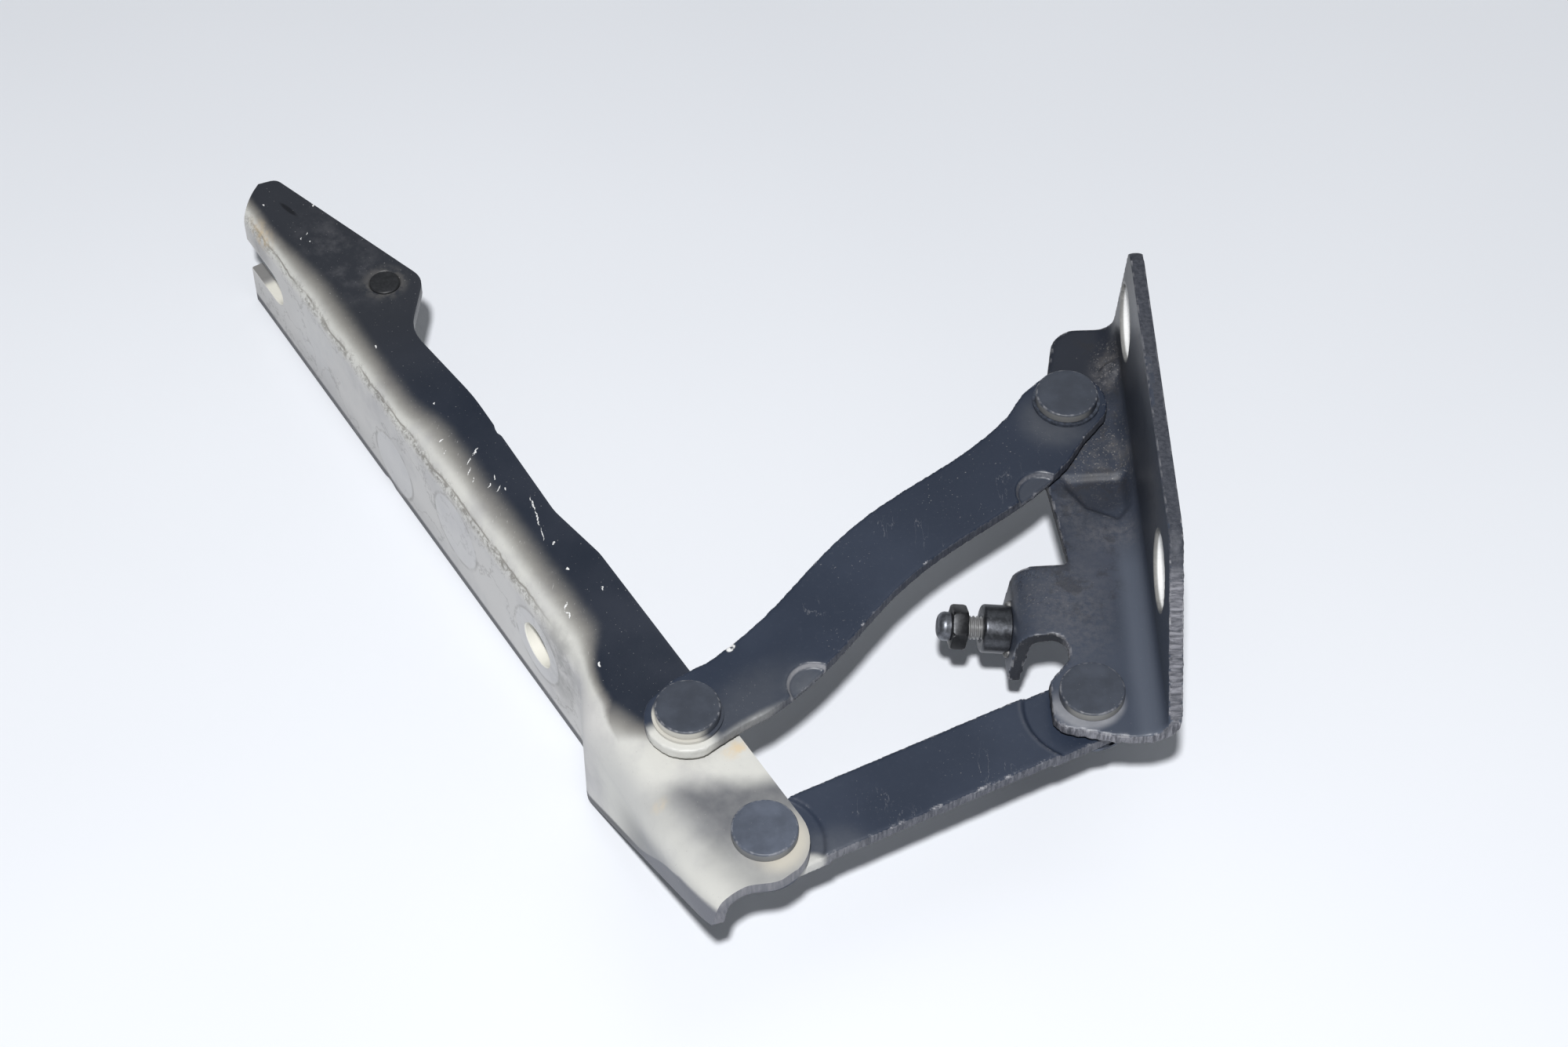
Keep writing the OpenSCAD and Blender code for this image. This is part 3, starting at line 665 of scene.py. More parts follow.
def black_metal(name, tone, roughness, metallic, wear):
    """Black plated steel of the stop and the stud."""
    finish = Finish(name)
    fine = finish.cloud(0.9, 5.0, 0.65)
    finish.colour = finish.mix(finish.ease(fine, 0.35, 0.8), grey(tone, PLATED), grey(tone * 1.8, PLATED))
    finish.lay(finish.marked("bare") * 0.85, grey(0.42))
    finish.lay(finish.patches(0.62, 0.74, 1.6, 4.0) * wear, BARE)
    finish.lay(worn_edges(finish, 0.6), grey(0.30))
    finish.set(
        Base_Color=finish.colour,
        Roughness=roughness + 0.15 * finish.ease(fine, 0.4, 0.8),
        Metallic=metallic,
        Normal=finish.bump(fine, 0.05, 0.4),
    )
    return finish.material


def bare_metal(name, colour_low, colour_high, roughness, metallic=1.0):
    """Dull metal of the bushes, washers and weld."""
    finish = Finish(name)
    fine = finish.cloud(0.8, 5.0, 0.6)
    finish.set(
        Base_Color=finish.mix(finish.ease(fine, 0.3, 0.75), colour_low, colour_high),
        Metallic=metallic,
        Roughness=roughness + 0.2 * fine,
        Normal=finish.bump(fine, 0.04, 0.5),
    )
    return finish.material


# Mesh helpers
def mesh_of(name, bm):
    """A mesh from a bmesh, which goes."""
    mesh = bpy.data.meshes.new(name)
    bm.to_mesh(mesh)
    bm.free()
    return mesh


def put(name, data):
    """A new object in the scene."""
    made = bpy.data.objects.new(name, data)
    bpy.context.scene.collection.objects.link(made)
    return made


def smooth(value):
    k = min(max(value, 0.0), 1.0)
    return k * k * (3 - 2 * k)


def sharp_edges(bm, limit=SHARP):
    return [e for e in bm.edges if len(e.link_faces) == 2 and e.calc_face_angle() > limit]


def roughen(bm, depth, chosen):
    """Moves the chosen faces' corners in and out a little, as on a sheared edge."""
    bm.normal_update()
    corners = {vert for face in bm.faces if chosen(face) for vert in face.verts}
    for vert in corners:
        place = vert.co / MM
        vert.co += vert.normal * (depth * MM * (noise.noise(place * 0.7) + 0.6 * noise.noise(place * 2.3)))


def mark_layer(bm, name):
    """Layer for a number on each face; a new one is made before any faces are picked out."""
    return bm.faces.layers.float.get(name) or bm.faces.layers.float.new(name)


def mark_faces(bm, name, value):
    """Keeps a number on each face for the paint, from 0 to 1."""
    layer = mark_layer(bm, name)
    for face in bm.faces:
        face[layer] = value(face)


WEAR_FROM, WEAR_SPAN = 0.07, 0.10


def mark_wear(bm):
    """Marks the outward edges, where paint wears first, by how far a corner stands out."""
    bm.normal_update()
    stand = {}
    for vert in bm.verts:
        around = [edge.other_vert(vert).co for edge in vert.link_edges]
        hollow = sum((place - vert.co for place in around), Vector()) / len(around)
        reach = sum((place - vert.co).length for place in around) / len(around)
        stand[vert] = -hollow.dot(vert.normal) / max(reach, 1e-9)

    def wear(face):
        mean = sum(stand[vert] for vert in face.verts) / len(face.verts)
        return smooth((mean - WEAR_FROM) / WEAR_SPAN)

    mark_faces(bm, "worn", wear)


def round_edges(bm, radius, segments=3):
    """Rounds the sharp edges and marks them for the paint's wear."""
    mark_layer(bm, "worn")
    made = bmesh.ops.bevel(
        bm, geom=sharp_edges(bm), offset=radius * MM, offset_type="OFFSET", segments=segments,
        profile=0.5, affect="EDGES", clamp_overlap=True, material=-1,
    )
    rounded = set(made["faces"])
    mark_faces(bm, "worn", lambda face: 1.0 if face in rounded else 0.0)


def evaluated(helper):
    """The helper object's mesh with its modifiers applied; the helper goes."""
    graph = bpy.context.evaluated_depsgraph_get()
    mesh = bpy.data.meshes.new_from_object(helper.evaluated_get(graph))
    bpy.data.objects.remove(helper)
    return mesh


def skin_of(node, grain, passes):
    """A copy of a CAD node with even small faces and softly rounded edges."""
    merged = bmesh.new()
    merged.from_mesh(frame["nodes"][node].data)
    bmesh.ops.remove_doubles(merged, verts=merged.verts, dist=1e-6)
    helper = put("skin_helper", mesh_of(node + "_skin", merged))
    skin = helper.modifiers.new("skin", "REMESH")
    skin.mode = "VOXEL"
    skin.voxel_size = grain * MM
    ease = helper.modifiers.new("ease", "SMOOTH")
    ease.factor = 0.5
    ease.iterations = passes
    bm = bmesh.new()
    bm.from_mesh(evaluated(helper))
    bm.normal_update()
    return bm


def lathe(bm, profile, matrix, steps=64):
    """Turns a profile of radius and height, in millimetres, about the matrix's Z axis."""
    verts = [bm.verts.new((r * MM, 0, h * MM)) for r, h in profile]
    edges = [bm.edges.new(pair) for pair in zip(verts, verts[1:])]
    bmesh.ops.spin(
        bm, geom=verts + edges, axis=(0, 0, 1), cent=(0, 0, 0), dvec=(0, 0, 0),
        angle=2 * math.pi, steps=steps, use_merge=True,
    )
    bmesh.ops.remove_doubles(bm, verts=bm.verts, dist=1e-7)
    bmesh.ops.recalc_face_normals(bm, faces=bm.faces)
    bmesh.ops.transform(bm, matrix=matrix, verts=bm.verts)


def arc(centre, radius, start, end, count=6):
    """Points of an arc in a profile, angles in degrees."""
    turns = [math.radians(start + (end - start) * i / count) for i in range(count + 1)]
    return [(centre[0] + radius * math.cos(a), centre[1] + radius * math.sin(a)) for a in turns]


def add_piece(name, bm, body, node, material, shade=SHARP):
    return add_mesh_piece(name, mesh_of(name, bm), body, node, material, shade)


def add_mesh_piece(name, mesh, body, node, material, shade=SHARP):
    mesh.shade_smooth()
    mesh.set_sharp_from_angle(angle=shade)
    mesh.materials.clear()
    mesh.materials.append(material)
    piece = put(name, mesh)
    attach(piece, body)
    if node:
        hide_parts(node)
    return piece


def cut_away(mesh, cutters):
    """The mesh with the cutters' solids taken out."""
    helper = put("cut_helper", mesh)
    tools = []
    for bm in cutters:
        tool = put("cutter", mesh_of("cutter", bm))
        cut = helper.modifiers.new("cut", "BOOLEAN")
        cut.operation = "DIFFERENCE"
        cut.solver = "EXACT"
        cut.object = tool
        tools.append(tool)
    result = evaluated(helper)
    for tool in tools:
        bpy.data.objects.remove(tool)
    return result


# Bonnet arm: one bent sheet, in millimetres along and across the arm
ARM_LENGTH = 221.0
ARM_LOW = -47.8
FLANGE_IN = 12.6
BEND_R = 6.5
FLANGE_DEPTH = 36.5
SHEET = 3.5
JOG_FROM, JOG_TO = 33.0, 15.0
LIP_FROM, LIP_SLOPE = 18.0, 0.461
BOLT_LEVEL = -18.0
HOLE_AT, HOLE_R = 53.5, 6.25
SLOT_AT, SLOT_R = 200.5, 5.5
STUD_AT, STUD_IN = 169.4, 7.4


def arm_section(x):
    """Place of the flange, outside bend radius and depth of the sheet at a station."""
    jog = smooth((JOG_FROM - x) / (JOG_FROM - JOG_TO))
    low = max(0.0, (JOG_TO - x) / (JOG_TO - ARM_LOW))
    depth = FLANGE_DEPTH - LIP_SLOPE * max(0.0, LIP_FROM - x)
    return FLANGE_IN + 7.4 * jog + 3.0 * low, BEND_R + 2.0 * jog + 0.6 * low, depth


def round_corners(corners, step=9.0):
    """An open line through corners x, y, radius, with each radius turned into an arc."""
    line = [Vector(corners[0][:2])]
    for before, here, after in zip(corners, corners[1:], corners[2:]):
        p = Vector(here[:2])
        u = (Vector(before[:2]) - p).normalized()
        v = (Vector(after[:2]) - p).normalized()
        half = u.angle(v) / 2
        centre = p + (u + v).normalized() * (here[2] / math.sin(half))
        start = p + u * (here[2] / math.tan(half)) - centre
        end = p + v * (here[2] / math.tan(half)) - centre
        turn = -start.angle_signed(end)
        count = max(2, int(abs(math.degrees(turn)) / step))
        for i in range(count + 1):
            line.append(centre + Matrix.Rotation(turn * i / count, 2) @ start)
    return line + [Vector(corners[-1][:2])]


def height_on(line, x):
    for a, b in zip(line, line[1:]):
        if a.x <= x <= b.x and b.x > a.x:
            return a.y + (b.y - a.y) * (x - a.x) / (b.x - a.x)
    return line[0].y if x < line[0].x else line[-1].y


ARM_EDGE = round_corners((
    (ARM_LOW, 2.6, 0), (ARM_LOW, -9.2, 11.4), (58, -9.2, 12), (76, -6.4, 14), (121, -7.9, 60),
    (STUD_AT - 19, -5.2, 12), (STUD_AT - 4, -17.0, 6.5), (ARM_LENGTH - 1, -0.4, 3), (ARM_LENGTH, 4.6, 0),
))


# Knocks in the arm's edges: place, half width and depth
EDGE_NICK = (107.0, 1.4, 0.5)
FLANGE_NICK = (135.5, 2.2, 1.0)


def nick(x, mark):
    """Depth of a small knock in an edge."""
    place, half, deep = mark
    return deep * smooth(1.4 - abs(x - place) / half)


def low_end(y):
    """How far the lower end's edge stands from its straight line, across the arm."""
    return -1.0 + 2.9 * smooth((y - 4.0) / 9.0) - 1.4 * smooth((y - 18.5) / 4.5)


def far_end(y):
    return -max(0.0, y - 4.6) * 8.0 / 11.0


ARM_STATIONS = 300
END_CROWDING = 0.6
LOW_EASE, FAR_EASE = 14.0, 18.0
WEB_ROWS = 14
BEND_ROWS = 10
FLANGE_ROWS = ((BEND_R, 4), (12.5, 6), (23.5, 7))


def drop_shares():
    """Shares of the way over the bend and down the flange, with rows at the slot's edges."""
    bend = BEND_R * math.pi / 2
    whole = bend + FLANGE_DEPTH - BEND_R
    shares = [bend * i / BEND_ROWS / whole for i in range(1, BEND_ROWS + 1)]
    ends = [level for level, _ in FLANGE_ROWS[1:]] + [FLANGE_DEPTH]
    for (level, rows), end in zip(FLANGE_ROWS, ends):
        for i in range(1, rows + 1):
            shares.append((bend + level - BEND_R + (end - level) * i / rows) / whole)
    return shares


def arm_point(x, row, shares):
    """A point of the outer face: rows cross the web first, then go over the bend and down."""
    flange, radius, depth = arm_section(x)
    flat = flange - radius
    edge = height_on(ARM_EDGE, x) + nick(x, EDGE_NICK)
    depth -= nick(x, FLANGE_NICK)
    if row <= WEB_ROWS:
        y, z = edge + (flat - edge) * row / WEB_ROWS, 0.0
    else:
        bend = radius * math.pi / 2
        whole = bend + depth - radius if depth > radius else radius * math.acos(1 - depth / radius)
        way = shares[row - WEB_ROWS - 1] * whole
        if way < bend:
            y = flat + radius * math.sin(way / radius)
            z = radius * math.cos(way / radius) - radius
        else:
            y, z = flange, -radius - (way - bend)
    near = max(0.0, 1 - (x - ARM_LOW) / LOW_EASE) ** 2
    far = max(0.0, 1 - (ARM_LENGTH - x) / FAR_EASE) ** 2
    return Vector((x + near * low_end(y) + far * far_end(y), y, z)) * MM


def through_cutter(radius, stretch, place):
    """A cutter for a hole with eased edges, drawn out along X by stretch for a slot."""
    bm = bmesh.new()
    ease = 0.35
    half = SHEET / 2
    flare = 1.3
    lathe(
        bm,
        (
            (0, -half - flare), (radius + ease + flare, -half - flare), (radius, -half + ease),
            (radius, half - ease), (radius + ease + flare, half + flare), (0, half + flare),
        ),
        Matrix.Identity(4),
        48,
    )
    if stretch:
        bmesh.ops.translate(bm, vec=(stretch * MM, 0, 0), verts=[v for v in bm.verts if v.co.x > 1e-6])
    bmesh.ops.transform(bm, matrix=place, verts=bm.verts)
    return bm


def flange_place(x):
    """Frame of a hole in the arm's flange: X along the arm, Z out of the flange."""
    turned = Matrix(((1, 0, 0), (0, 0, 1), (0, -1, 0))).to_4x4()
    return ARM @ Matrix.Translation(Vector((x, FLANGE_IN - SHEET / 2, BOLT_LEVEL)) * MM) @ turned


def web_place(x, y):
    return ARM @ Matrix.Translation(Vector((x, y, -SHEET / 2)) * MM)


def bonnet_arm(material):
    shares = drop_shares()
    rows = WEB_ROWS + len(shares)
    bm = bmesh.new()
    bmesh.ops.create_grid(bm, x_segments=ARM_STATIONS, y_segments=rows, size=0.5)
    for vert in bm.verts:
        share = vert.co.x + 0.5
        row = round((vert.co.y + 0.5) * rows)
        share -= END_CROWDING * math.sin(2 * math.pi * share) / (2 * math.pi)
        x = ARM_LOW + (ARM_LENGTH - ARM_LOW) * share
        vert.co = arm_point(x, row, shares)
    bmesh.ops.recalc_face_normals(bm, faces=bm.faces)
    if sum(face.normal.z for face in bm.faces) < 0:
        bmesh.ops.reverse_faces(bm, faces=bm.faces)
    bmesh.ops.solidify(bm, geom=bm.faces, thickness=SHEET * MM)
    bmesh.ops.recalc_face_normals(bm, faces=bm.faces)
    sharp = set(sharp_edges(bm))
    mark_faces(bm, "rim", lambda face: float(sum(edge in sharp for edge in face.edges) > 1))
    round_edges(bm, 0.45, 3)
    bmesh.ops.transform(bm, matrix=ARM, verts=bm.verts)
    mesh = cut_away(mesh_of("bonnet_arm_sheet", bm), [
        through_cutter(HOLE_R, 0, flange_place(HOLE_AT)),
        through_cutter(SLOT_R, 40, flange_place(SLOT_AT)),
        through_cutter(4.1, 0, web_place(STUD_AT, -STUD_IN)),
        through_cutter(3.5, 0, web_place(0, 0)),
        through_cutter(4.5, 0, web_place(LOWER_AT.x, LOWER_AT.y)),
    ])
    return add_mesh_piece("bonnet_arm_sheet", mesh, "arm", "bonnet_arm", material)


# Body bracket, with the pressed dart and pocket of its inner corner
DART = Vector((-5.6, 40.5, 1.0))
DART_REACH = 5.5
DART_SIZE = (4.0, 4.4, 4.0)
DART_RISE = Vector((-0.81, 0, 1.62))
LUG_Y = (-46.0, -22.0)
LUG_X = -31
STEEP = 0.6
POCKET = ((-22.0, 6.4), (-20.8, 2.4), (-16.6, -4.1), (-8.3, -8.2), (-5.2, -4.5), (-5.0, 7.0))
POCKET_DEPTH = 1.5
BODY_BEND = 5.0


def inside_pocket(place):
    """Distance of a point from the sides of the web's pressed pocket, positive inside."""
    least = math.inf
    for start, end in zip(POCKET, POCKET[1:] + POCKET[:1]):
        along = Vector(end) - Vector(start)
        off = place - Vector(start)
        least = min(least, along.cross(off) / along.length)
    return least


def bracket_side(face):
    """Whether a face of the bracket is the sheared side of its sheet."""
    x, y, z = (face.calc_center_median() - Vector((0, 0, WEB_Z))) / MM
    along = face.normal
    at_dart = (Vector((x, y, z)) - DART).length < DART_REACH
    if at_dart or z > -3 and inside_pocket(Vector((x, y))) > -3:
        return False
    if abs(along.y) > STEEP:
        return True
    if z > 9:
        return abs(along.x) < STEEP
    on_lug = LUG_Y[0] < y < LUG_Y[1] and x < LUG_X
    return x < -9 and -3.8 < z < 0.3 and abs(along.z) < STEEP and not on_lug


def web_top(x):
    """Height of the web's upper face, with its bend into the flange."""
    return BODY_BEND - math.sqrt(BODY_BEND**2 - min(max(x + SHEET + BODY_BEND, 0.0), BODY_BEND - 0.1) ** 2)


def body_bracket(material):
    bm = skin_of("body_bracket", grain=0.7, passes=3)
    base = Vector((0, 0, WEB_Z))
    for vert in bm.verts:
        place = (vert.co - base) / MM
        off = place - DART
        stand = 1 - Vector(part / size for part, size in zip(off, DART_SIZE)).length
        if stand > 0:
            vert.co += DART_RISE * (MM * smooth(stand * 1.4))
        inside = inside_pocket(place.xy)
        if inside > -2.6 and vert.normal.z > 0.45 and abs(place.z - web_top(place.x)) < 1.7:
            sunk = POCKET_DEPTH * smooth((inside + 0.8) / 2.4)
            vert.co.z = (WEB_Z / MM + web_top(place.x) - sunk) * MM
    mark_wear(bm)
    mark_faces(bm, "rim", lambda face: float(bracket_side(face)))
    roughen(bm, 0.20, lambda face: bracket_side(face) and face.calc_center_median().y < -44 * MM)
    add_piece("body_bracket_sheet", bm, "bracket", "body_bracket", material, math.pi)


DENT_R, DENT_EXTRA = 6.4, 0.7
DENT_SHARES = (0.195, 0.8)
WAVE, WAVE_PITCH, WAVE_CREST, WAVE_BASE = 2.1, 90.0, 0.49, 0.57
UPPER_LINK_R = 10.6


def upper_link_dents():
    """Centres of the two half-round dents on the upper link's south-east edge."""
    along = PIVOT_D - PIVOT_A
    length = along.length / MM
    ahead = along.normalized()
    outward = Vector((-ahead.y, ahead.x, 0))
    centres = []
    for share in DENT_SHARES:
        turn = 2 * math.pi * (share - WAVE_CREST) * length / WAVE_PITCH
        reach = WAVE * (WAVE_BASE - math.cos(turn)) + UPPER_LINK_R + 1.4
        centres.append(PIVOT_A + along * share + outward * (reach * MM))
    return centres


def upper_link_haze():
    """Primer mist and dust on the upper link, one broad patch also a painted sheen on its south part:
    centre, reach, edge, amount and turn.
    """
    a, d = PIVOT_A / MM, PIVOT_D / MM
    near, far = [dent / MM for dent in upper_link_dents()]
    turn = math.atan2(a.y - d.y, a.x - d.x)
    return (
        ((d.x - 3, d.y - 9, 4), (14, 10, 8), 0.45, 1.0, 0.0),
        # Primer mist that also lightens the link's south part as a painted sheen.
        ((d.x + 14, d.y + 2, 4), (30, 15, 8), 0.0, 0.05, turn),
        ((d.x + 15, d.y - 3.2, 5), (19, 3.4, 9), 0.0, 0.34, math.radians(33)),
        ((far.x - 1, far.y + 1, 4), (10, 9, 6), 0.0, 0.08, turn),
        ((near.x, near.y, 4), (8, 8, 6), 0.5, 0.04, turn),
        ((a.x - 3, a.y - 6, 4), (16, 15, 6), 0.1, 0.075, 0.0),
    )


def lower_link_haze():
    c = PIVOT_C / MM
    return (
        ((c.x + 11, c.y - 6, -6), (6, 5, 6), 0.3, 0.8, 0.0),
        ((c.x + 17, c.y - 2, -6), (16, 12, 6), 0.0, 0.07, 0.0),
    )


def upper_dent_highlights():
    """Painted highlights on the walls of the dents: centre, radius and amount."""
    near, far = [dent / MM for dent in upper_link_dents()]
    return (((near.x, near.y, 4), 6.1, 0.22), ((far.x, far.y, 4), 6.1, 0.7))


def lower_link_rings():
    """The pale step of the link's joggle round the body pivot: wear, with a painted highlight of its edge.
    """
    b = PIVOT_B / MM
    return (((b.x, b.y, -5), 18.0, 0.1),)


def flat_link(name, node, grain, material, dents=()):
    bm = skin_of(node, grain, passes=2)
    top = max(vert.co.z for vert in bm.verts)
    for vert in bm.verts:
        for dent in dents:
            inside = DENT_R - ((vert.co - dent) / MM).xy.length
            if inside > -0.4 and vert.co.z > top - 2.2 * MM:
                vert.co.z -= DENT_EXTRA * MM * smooth((inside + 0.4) / 1.2)
    mark_wear(bm)
    mark_faces(bm, "rim", lambda face: float(abs(face.normal.z) < 0.5))
    roughen(bm, 0.10, lambda face: abs(face.normal.z) < 0.5)
    add_piece(name, bm, node, node, material, math.pi)


# Pivot rivets
def head_profile(seat):
    """A flat head with a rounded rim and a shallow turned ring, from its seat up to its axis."""
    top = seat + HEAD_H
    rim = arc((HEAD_R - 0.5, top - 0.5), 0.5, 0, 84)
    low = arc((HEAD_R - 0.35, seat + 0.35), 0.35, -90, 0, 3)
    crown = [(6.4, top + 0.03), (5.6, top - 0.03), (3.0, top + 0.02), (0, top + 0.05)]
    return low + rim + crown


def pivot_rivet(node, body, levels, material):
    """levels: the steps of the shank from the axis at the tail up to the head's seat."""
    bm = bmesh.new()
    seat = levels[-1][1]
    lathe(bm, list(levels) + head_profile(seat), Matrix.Translation(PIVOTS[node]), 96)
    add_piece(node + "_turned", bm, body, node, material)


def upper_rivet(node, body, material):
    tail = arc((4.2, -4.7), 0.8, -90, 0, 4)
    levels = [(0, -5.5)] + tail + [(5.0, -3.5), (3.48, -3.5), (3.48, 0), (4.5, 0), (4.5, UPPER_SEAT)]
    pivot_rivet(node, body, levels, material)


def lower_rivet(node, body, neck, material):
    tail = arc((5.0, -10.6), 1.0, -90, 0, 4)
    levels = [(0, -11.6)] + tail + [(6.0, -9.6), (neck, -9.6), (neck, -3.5), (4.48, -3.5), (4.48, 0)]
    pivot_rivet(node, body, levels, material)


# Stop on the bracket's lug
COLLAR_R, COLLAR_L = 6.1, 7.2
THREAD_R, THREAD_CORE, PITCH = 3.0, 2.45, 1.0
HEX_Z, HEX_H, HEX_AF = 11.0, 3.9, 10.0
BUTTON_R, BUTTON_H = 3.65, 3.4
THREAD_LOW = -7.5
THREAD_STEPS = 36


def stop_frame():
    """Frame on the lug's outer face: Z along the screw, X up."""
    up = Vector((0, 1, 0)).cross(STOP_AXIS)
    axes = Matrix((up, Vector((0, 1, 0)), STOP_AXIS)).transposed().to_4x4()
    seat = middle("stop_collar") - STOP_AXIS * (COLLAR_L / 2 * MM)
    return Matrix.Translation(seat) @ axes


STOP = stop_frame()


def stop_collar(material):
    bm = bmesh.new()
    bore = 3.1
    profile = (
        [(bore + 0.4, 0), (COLLAR_R - 0.3, 0), (COLLAR_R, 0.3)]
        + arc((COLLAR_R - 0.9, COLLAR_L - 0.9), 0.9, 0, 90)
        + [(bore + 0.7, COLLAR_L), (bore, COLLAR_L - 0.6), (bore, 0.4), (bore + 0.4, 0)]
    )
    lathe(bm, profile, STOP, 72)
    add_piece("stop_collar_turned", bm, "bracket", "stop_collar", material)


def stop_weld(material):
    """The bead that holds the collar on the lug."""
    bm = bmesh.new()
    for turn, size in ((52, 1.25), (66, 1.0), (118, 0.95), (236, 1.1), (250, 0.9)):
        a = math.radians(turn)
        at = Matrix.Translation(Vector((COLLAR_R * math.cos(a), COLLAR_R * math.sin(a), 0.1)) * MM)
        bmesh.ops.create_uvsphere(bm, u_segments=16, v_segments=10, radius=size * MM, matrix=STOP @ at)
    add_piece("stop_collar_weld", bm, "bracket", None, material)


def stop_screw(material):
    bm = bmesh.new()
    turns = round((HEX_Z - THREAD_LOW) / PITCH) + 1
    ridge = ((THREAD_CORE, 0), (THREAD_R, 0.40), (THREAD_R, 0.56), (THREAD_CORE, 0.92), (THREAD_CORE, PITCH))
    verts = [bm.verts.new((r * MM, 0, (h + THREAD_LOW) * MM)) for r, h in ridge]
    edges = [bm.edges.new(pair) for pair in zip(verts, verts[1:])]
    bmesh.ops.spin(
        bm, geom=verts + edges, axis=(0, 0, 1), cent=(0, 0, 0), dvec=(0, 0, PITCH * MM / THREAD_STEPS),
        angle=2 * math.pi * turns, steps=THREAD_STEPS * turns, use_merge=False,
    )
    bmesh.ops.remove_doubles(bm, verts=bm.verts, dist=1e-6)
    for level, side in ((HEX_Z + 0.8, "clear_outer"), (THREAD_LOW + PITCH, "clear_inner")):
        bmesh.ops.bisect_plane(
            bm, geom=bm.verts[:] + bm.edges[:] + bm.faces[:], plane_co=(0, 0, level * MM),
            plane_no=(0, 0, 1), **{side: True},
        )
    bmesh.ops.holes_fill(bm, edges=[e for e in bm.edges if e.is_boundary])
    bmesh.ops.recalc_face_normals(bm, faces=bm.faces)
    mark_faces(bm, "bare", lambda face: 1.0)
    head = bmesh.new()
    corner = HEX_AF / math.sqrt(3) * MM
    at = Matrix.Translation((0, 0, (HEX_Z + HEX_H / 2) * MM))
    bmesh.ops.create_cone(
        head, cap_ends=True, segments=6, radius1=corner, radius2=corner, depth=HEX_H * MM,
        matrix=at @ Matrix.Rotation(math.radians(30), 4, "Z"),
    )
    bmesh.ops.bevel(
        head, geom=head.verts[:], offset=0.75 * MM, offset_type="OFFSET", segments=1, profile=0.5,
        affect="VERTICES", clamp_overlap=True, material=-1,
    )
    round_edges(head, 0.14, 2)
    head_mesh = mesh_of("hex", head)
    bm.from_mesh(head_mesh)
    bpy.data.meshes.remove(head_mesh)
    bmesh.ops.transform(bm, matrix=STOP, verts=bm.verts)
    add_piece("stop_screw_cut", bm, "stop_screw", "stop_screw", material)


def stop_button(material):
    bm = bmesh.new()
    base = HEX_Z + HEX_H
    profile = (
        [(0, base), (BUTTON_R - 0.25, base), (BUTTON_R, base + 0.3), (BUTTON_R, base + 1.2)]
        + arc((BUTTON_R - 1.9, base + BUTTON_H - 2.0), 1.95, 0, 78, 10)
        + [(0.8, base + BUTTON_H), (0, base + BUTTON_H)]
    )
    lathe(bm, profile, STOP, 64)
    add_piece("stop_button_moulded", bm, "stop_screw", "stop_button", material)


def strut_stud(material):
    """Ball stud whose staked end stands a little above the ear, in a shallow groove."""
    bm = bmesh.new()
    ball = 5.0
    drop = -14.4
    neck = 3.1
    join = drop + math.sqrt(ball**2 - neck**2)
    turn = math.degrees(math.asin((join - drop) / ball))
    profile = (
        arc((0, drop), ball, -90, turn, 20)
        + [(neck, -6.5), (5.9, -6.5), (6.4, -6.0), (6.4, -3.5), (4.08, -3.5)]
        + [(4.08, 0.05), (3.8, 0.35), (2.6, 0.45), (0, 0.42)]
    )
    place = ARM @ Matrix.Translation(Vector((STUD_AT, -STUD_IN, 0)) * MM)
    lathe(bm, profile, place, 64)
    add_piece("strut_stud_turned", bm, "arm", "strut_stud", material)


# Stage, light and camera
EYE = Vector((-112.9, -539.8, 634.2)) * MM
AHEAD = Vector((0.0233, 0.6316, -0.7749)).normalized()
ASIDE = Vector((0.9993, -0.0368, 0.0)).normalized()
SENSOR_MM, LENS_MM = 36.0, 76.6
FLOOR_Z, FLOOR_HALF = -56.6 * MM, 4.0
LAMP_TARGET = Vector((-0.10, -0.01, -0.03))
# Lamps: name, place, size, power and tint
LAMPS = (
    ("key_lamp", (-0.16, -0.66, 1.14), 0.08, 18.1, (0.985, 0.99, 1.0)),
    ("soft_lamp", (0.5, 0.9, 1.3), 1.2, 2.0, (0.95, 0.98, 1.0)),
)
SKY_TINT, SKY_STRENGTH = (0.92, 0.96, 1.0, 1.0), 0.15


def look_frame(place, ahead, aside):
    above = aside.cross(ahead).normalized()
    aside = ahead.cross(above).normalized()
    return Matrix.Translation(place) @ Matrix((aside, above, -ahead)).transposed().to_4x4()


def floor():
    finish = Finish("floor_paper")
    tone = finish.cloud(0.004, 2.0)
    finish.set(
        Base_Color=finish.mix(finish.ease(tone, 0.2, 0.8), (0.84, 0.86, 0.90), (0.88, 0.90, 0.94)),
        Roughness=0.7,
    )
    bm = bmesh.new()
    bmesh.ops.create_grid(bm, x_segments=1, y_segments=1, size=FLOOR_HALF)
    bmesh.ops.translate(bm, vec=(0, 0, FLOOR_Z), verts=bm.verts)
    mesh = mesh_of("floor", bm)
    mesh.materials.append(finish.material)
    plane = put("floor", mesh)


def lamp(name, place, size, power, tint):
    light = bpy.data.lights.new(name, "AREA")
    light.shape = "DISK"
    light.size = size
    light.energy = power
    light.color = tint
    ahead = (LAMP_TARGET - place).normalized()
    aside = ahead.cross(Vector((0, 0, 1))).normalized()
    put(name, light).matrix_world = look_frame(place, ahead, aside)


def studio():
    for name, place, size, power, tint in LAMPS:
        lamp(name, Vector(place), size, power, tint)
    world = bpy.data.worlds.new("studio")
    world.use_nodes = True
    sky = world.node_tree.nodes["Background"]
    sky.inputs["Color"].default_value = SKY_TINT
    sky.inputs["Strength"].default_value = SKY_STRENGTH
    bpy.context.scene.world = world
    bpy.context.scene.view_settings.view_transform = "Standard"


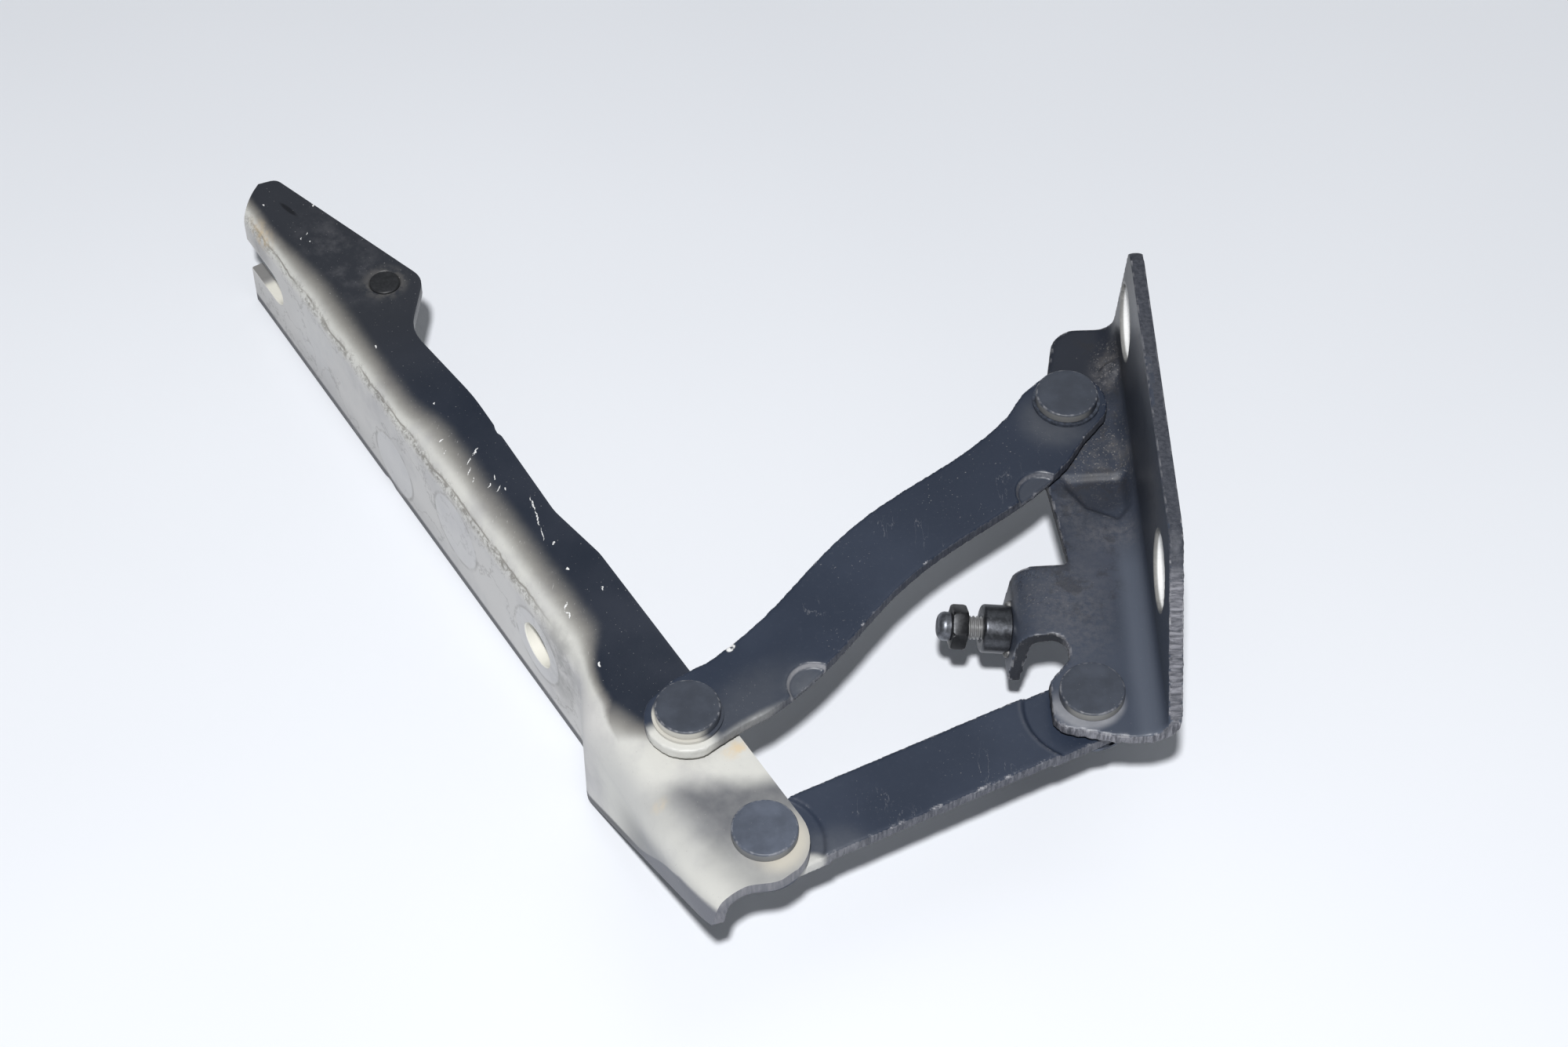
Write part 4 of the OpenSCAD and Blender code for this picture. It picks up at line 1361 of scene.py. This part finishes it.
def camera():
    lens = bpy.data.cameras.new("camera")
    lens.sensor_fit = "HORIZONTAL"
    lens.sensor_width = SENSOR_MM
    lens.lens = LENS_MM
    lens.clip_start = 0.01
    holder = put("camera", lens)
    holder.matrix_world = look_frame(EYE, AHEAD, ASIDE)
    bpy.context.scene.camera = holder


def dress_node(node, material):
    mesh = frame["nodes"][node].data
    mesh.materials.clear()
    mesh.materials.append(material)


camera()
floor()
studio()

upper_chips = ((-107.8, -49.2, 1.1),)
upper_paint = link_coat("upper_link_coat", upper_link_haze(), upper_chips, upper_dent_highlights(), 0.25, 0.40)
lower_chips = ((-37.0, -63.5, 0.8), (-60.0, -86.0, 0.6))
lower_paint = link_coat("lower_link_coat", lower_link_haze(), lower_chips, lower_link_rings(), 0.50, 0.62)
bracket_paint = bracket_coat()
bonnet_arm(arm_coat())
body_bracket(bracket_paint)
flat_link("upper_link_bar", "upper_link", 0.5, upper_paint, upper_link_dents())
flat_link("lower_link_bar", "lower_link", 0.5, lower_paint)
upper_rivet("upper_body_rivet", "bracket", head_coat("upper_body_head", PIVOT_A, 0.062, 0.25, 250))
upper_rivet("upper_arm_rivet", "arm", head_coat("upper_arm_head", PIVOT_D, 0.064, 0.9, 235))
lower_rivet("lower_body_rivet", "bracket", 4.5, head_coat("lower_body_head", PIVOT_B, 0.062, 0.35, 280))
lower_rivet("lower_arm_rivet", "arm", 3.5, head_coat("lower_arm_head", PIVOT_C, 0.108, 0.22, 250))
collar_black = black_metal("collar_black", 0.072, 0.34, 0.9, 0.04)
stop_collar(collar_black)
stop_weld(bare_metal("weld_grey", grey(0.10), grey(0.30), 0.5, 0.6))
stop_screw(black_metal("screw_black", 0.017, 0.36, 0.6, 0.10))
stop_button(black_metal("button_black", 0.17, 0.40, 0.9, 0.06))
strut_stud(black_metal("stud_black", 0.018, 0.40, 0.0, 0.06))
bronze = bare_metal("bush_bronze", (0.050, 0.042, 0.034), (0.11, 0.09, 0.07), 0.45, 0.6)
zinc = bare_metal("washer_zinc", grey(0.05, NAVY_TINT), grey(0.14, NAVY_TINT), 0.45, 0.5)
for bush in ("upper_body_bush", "upper_arm_bush", "lower_body_bush", "lower_arm_spacer"):
    dress_node(bush, bronze)
for washer in ("upper_body_washer", "lower_body_washer", "lower_arm_washer"):
    dress_node(washer, zinc)
dress_node("upper_arm_washer", head_coat("upper_arm_washer_coat", PIVOT_D, 0.064, 0.9, 235))
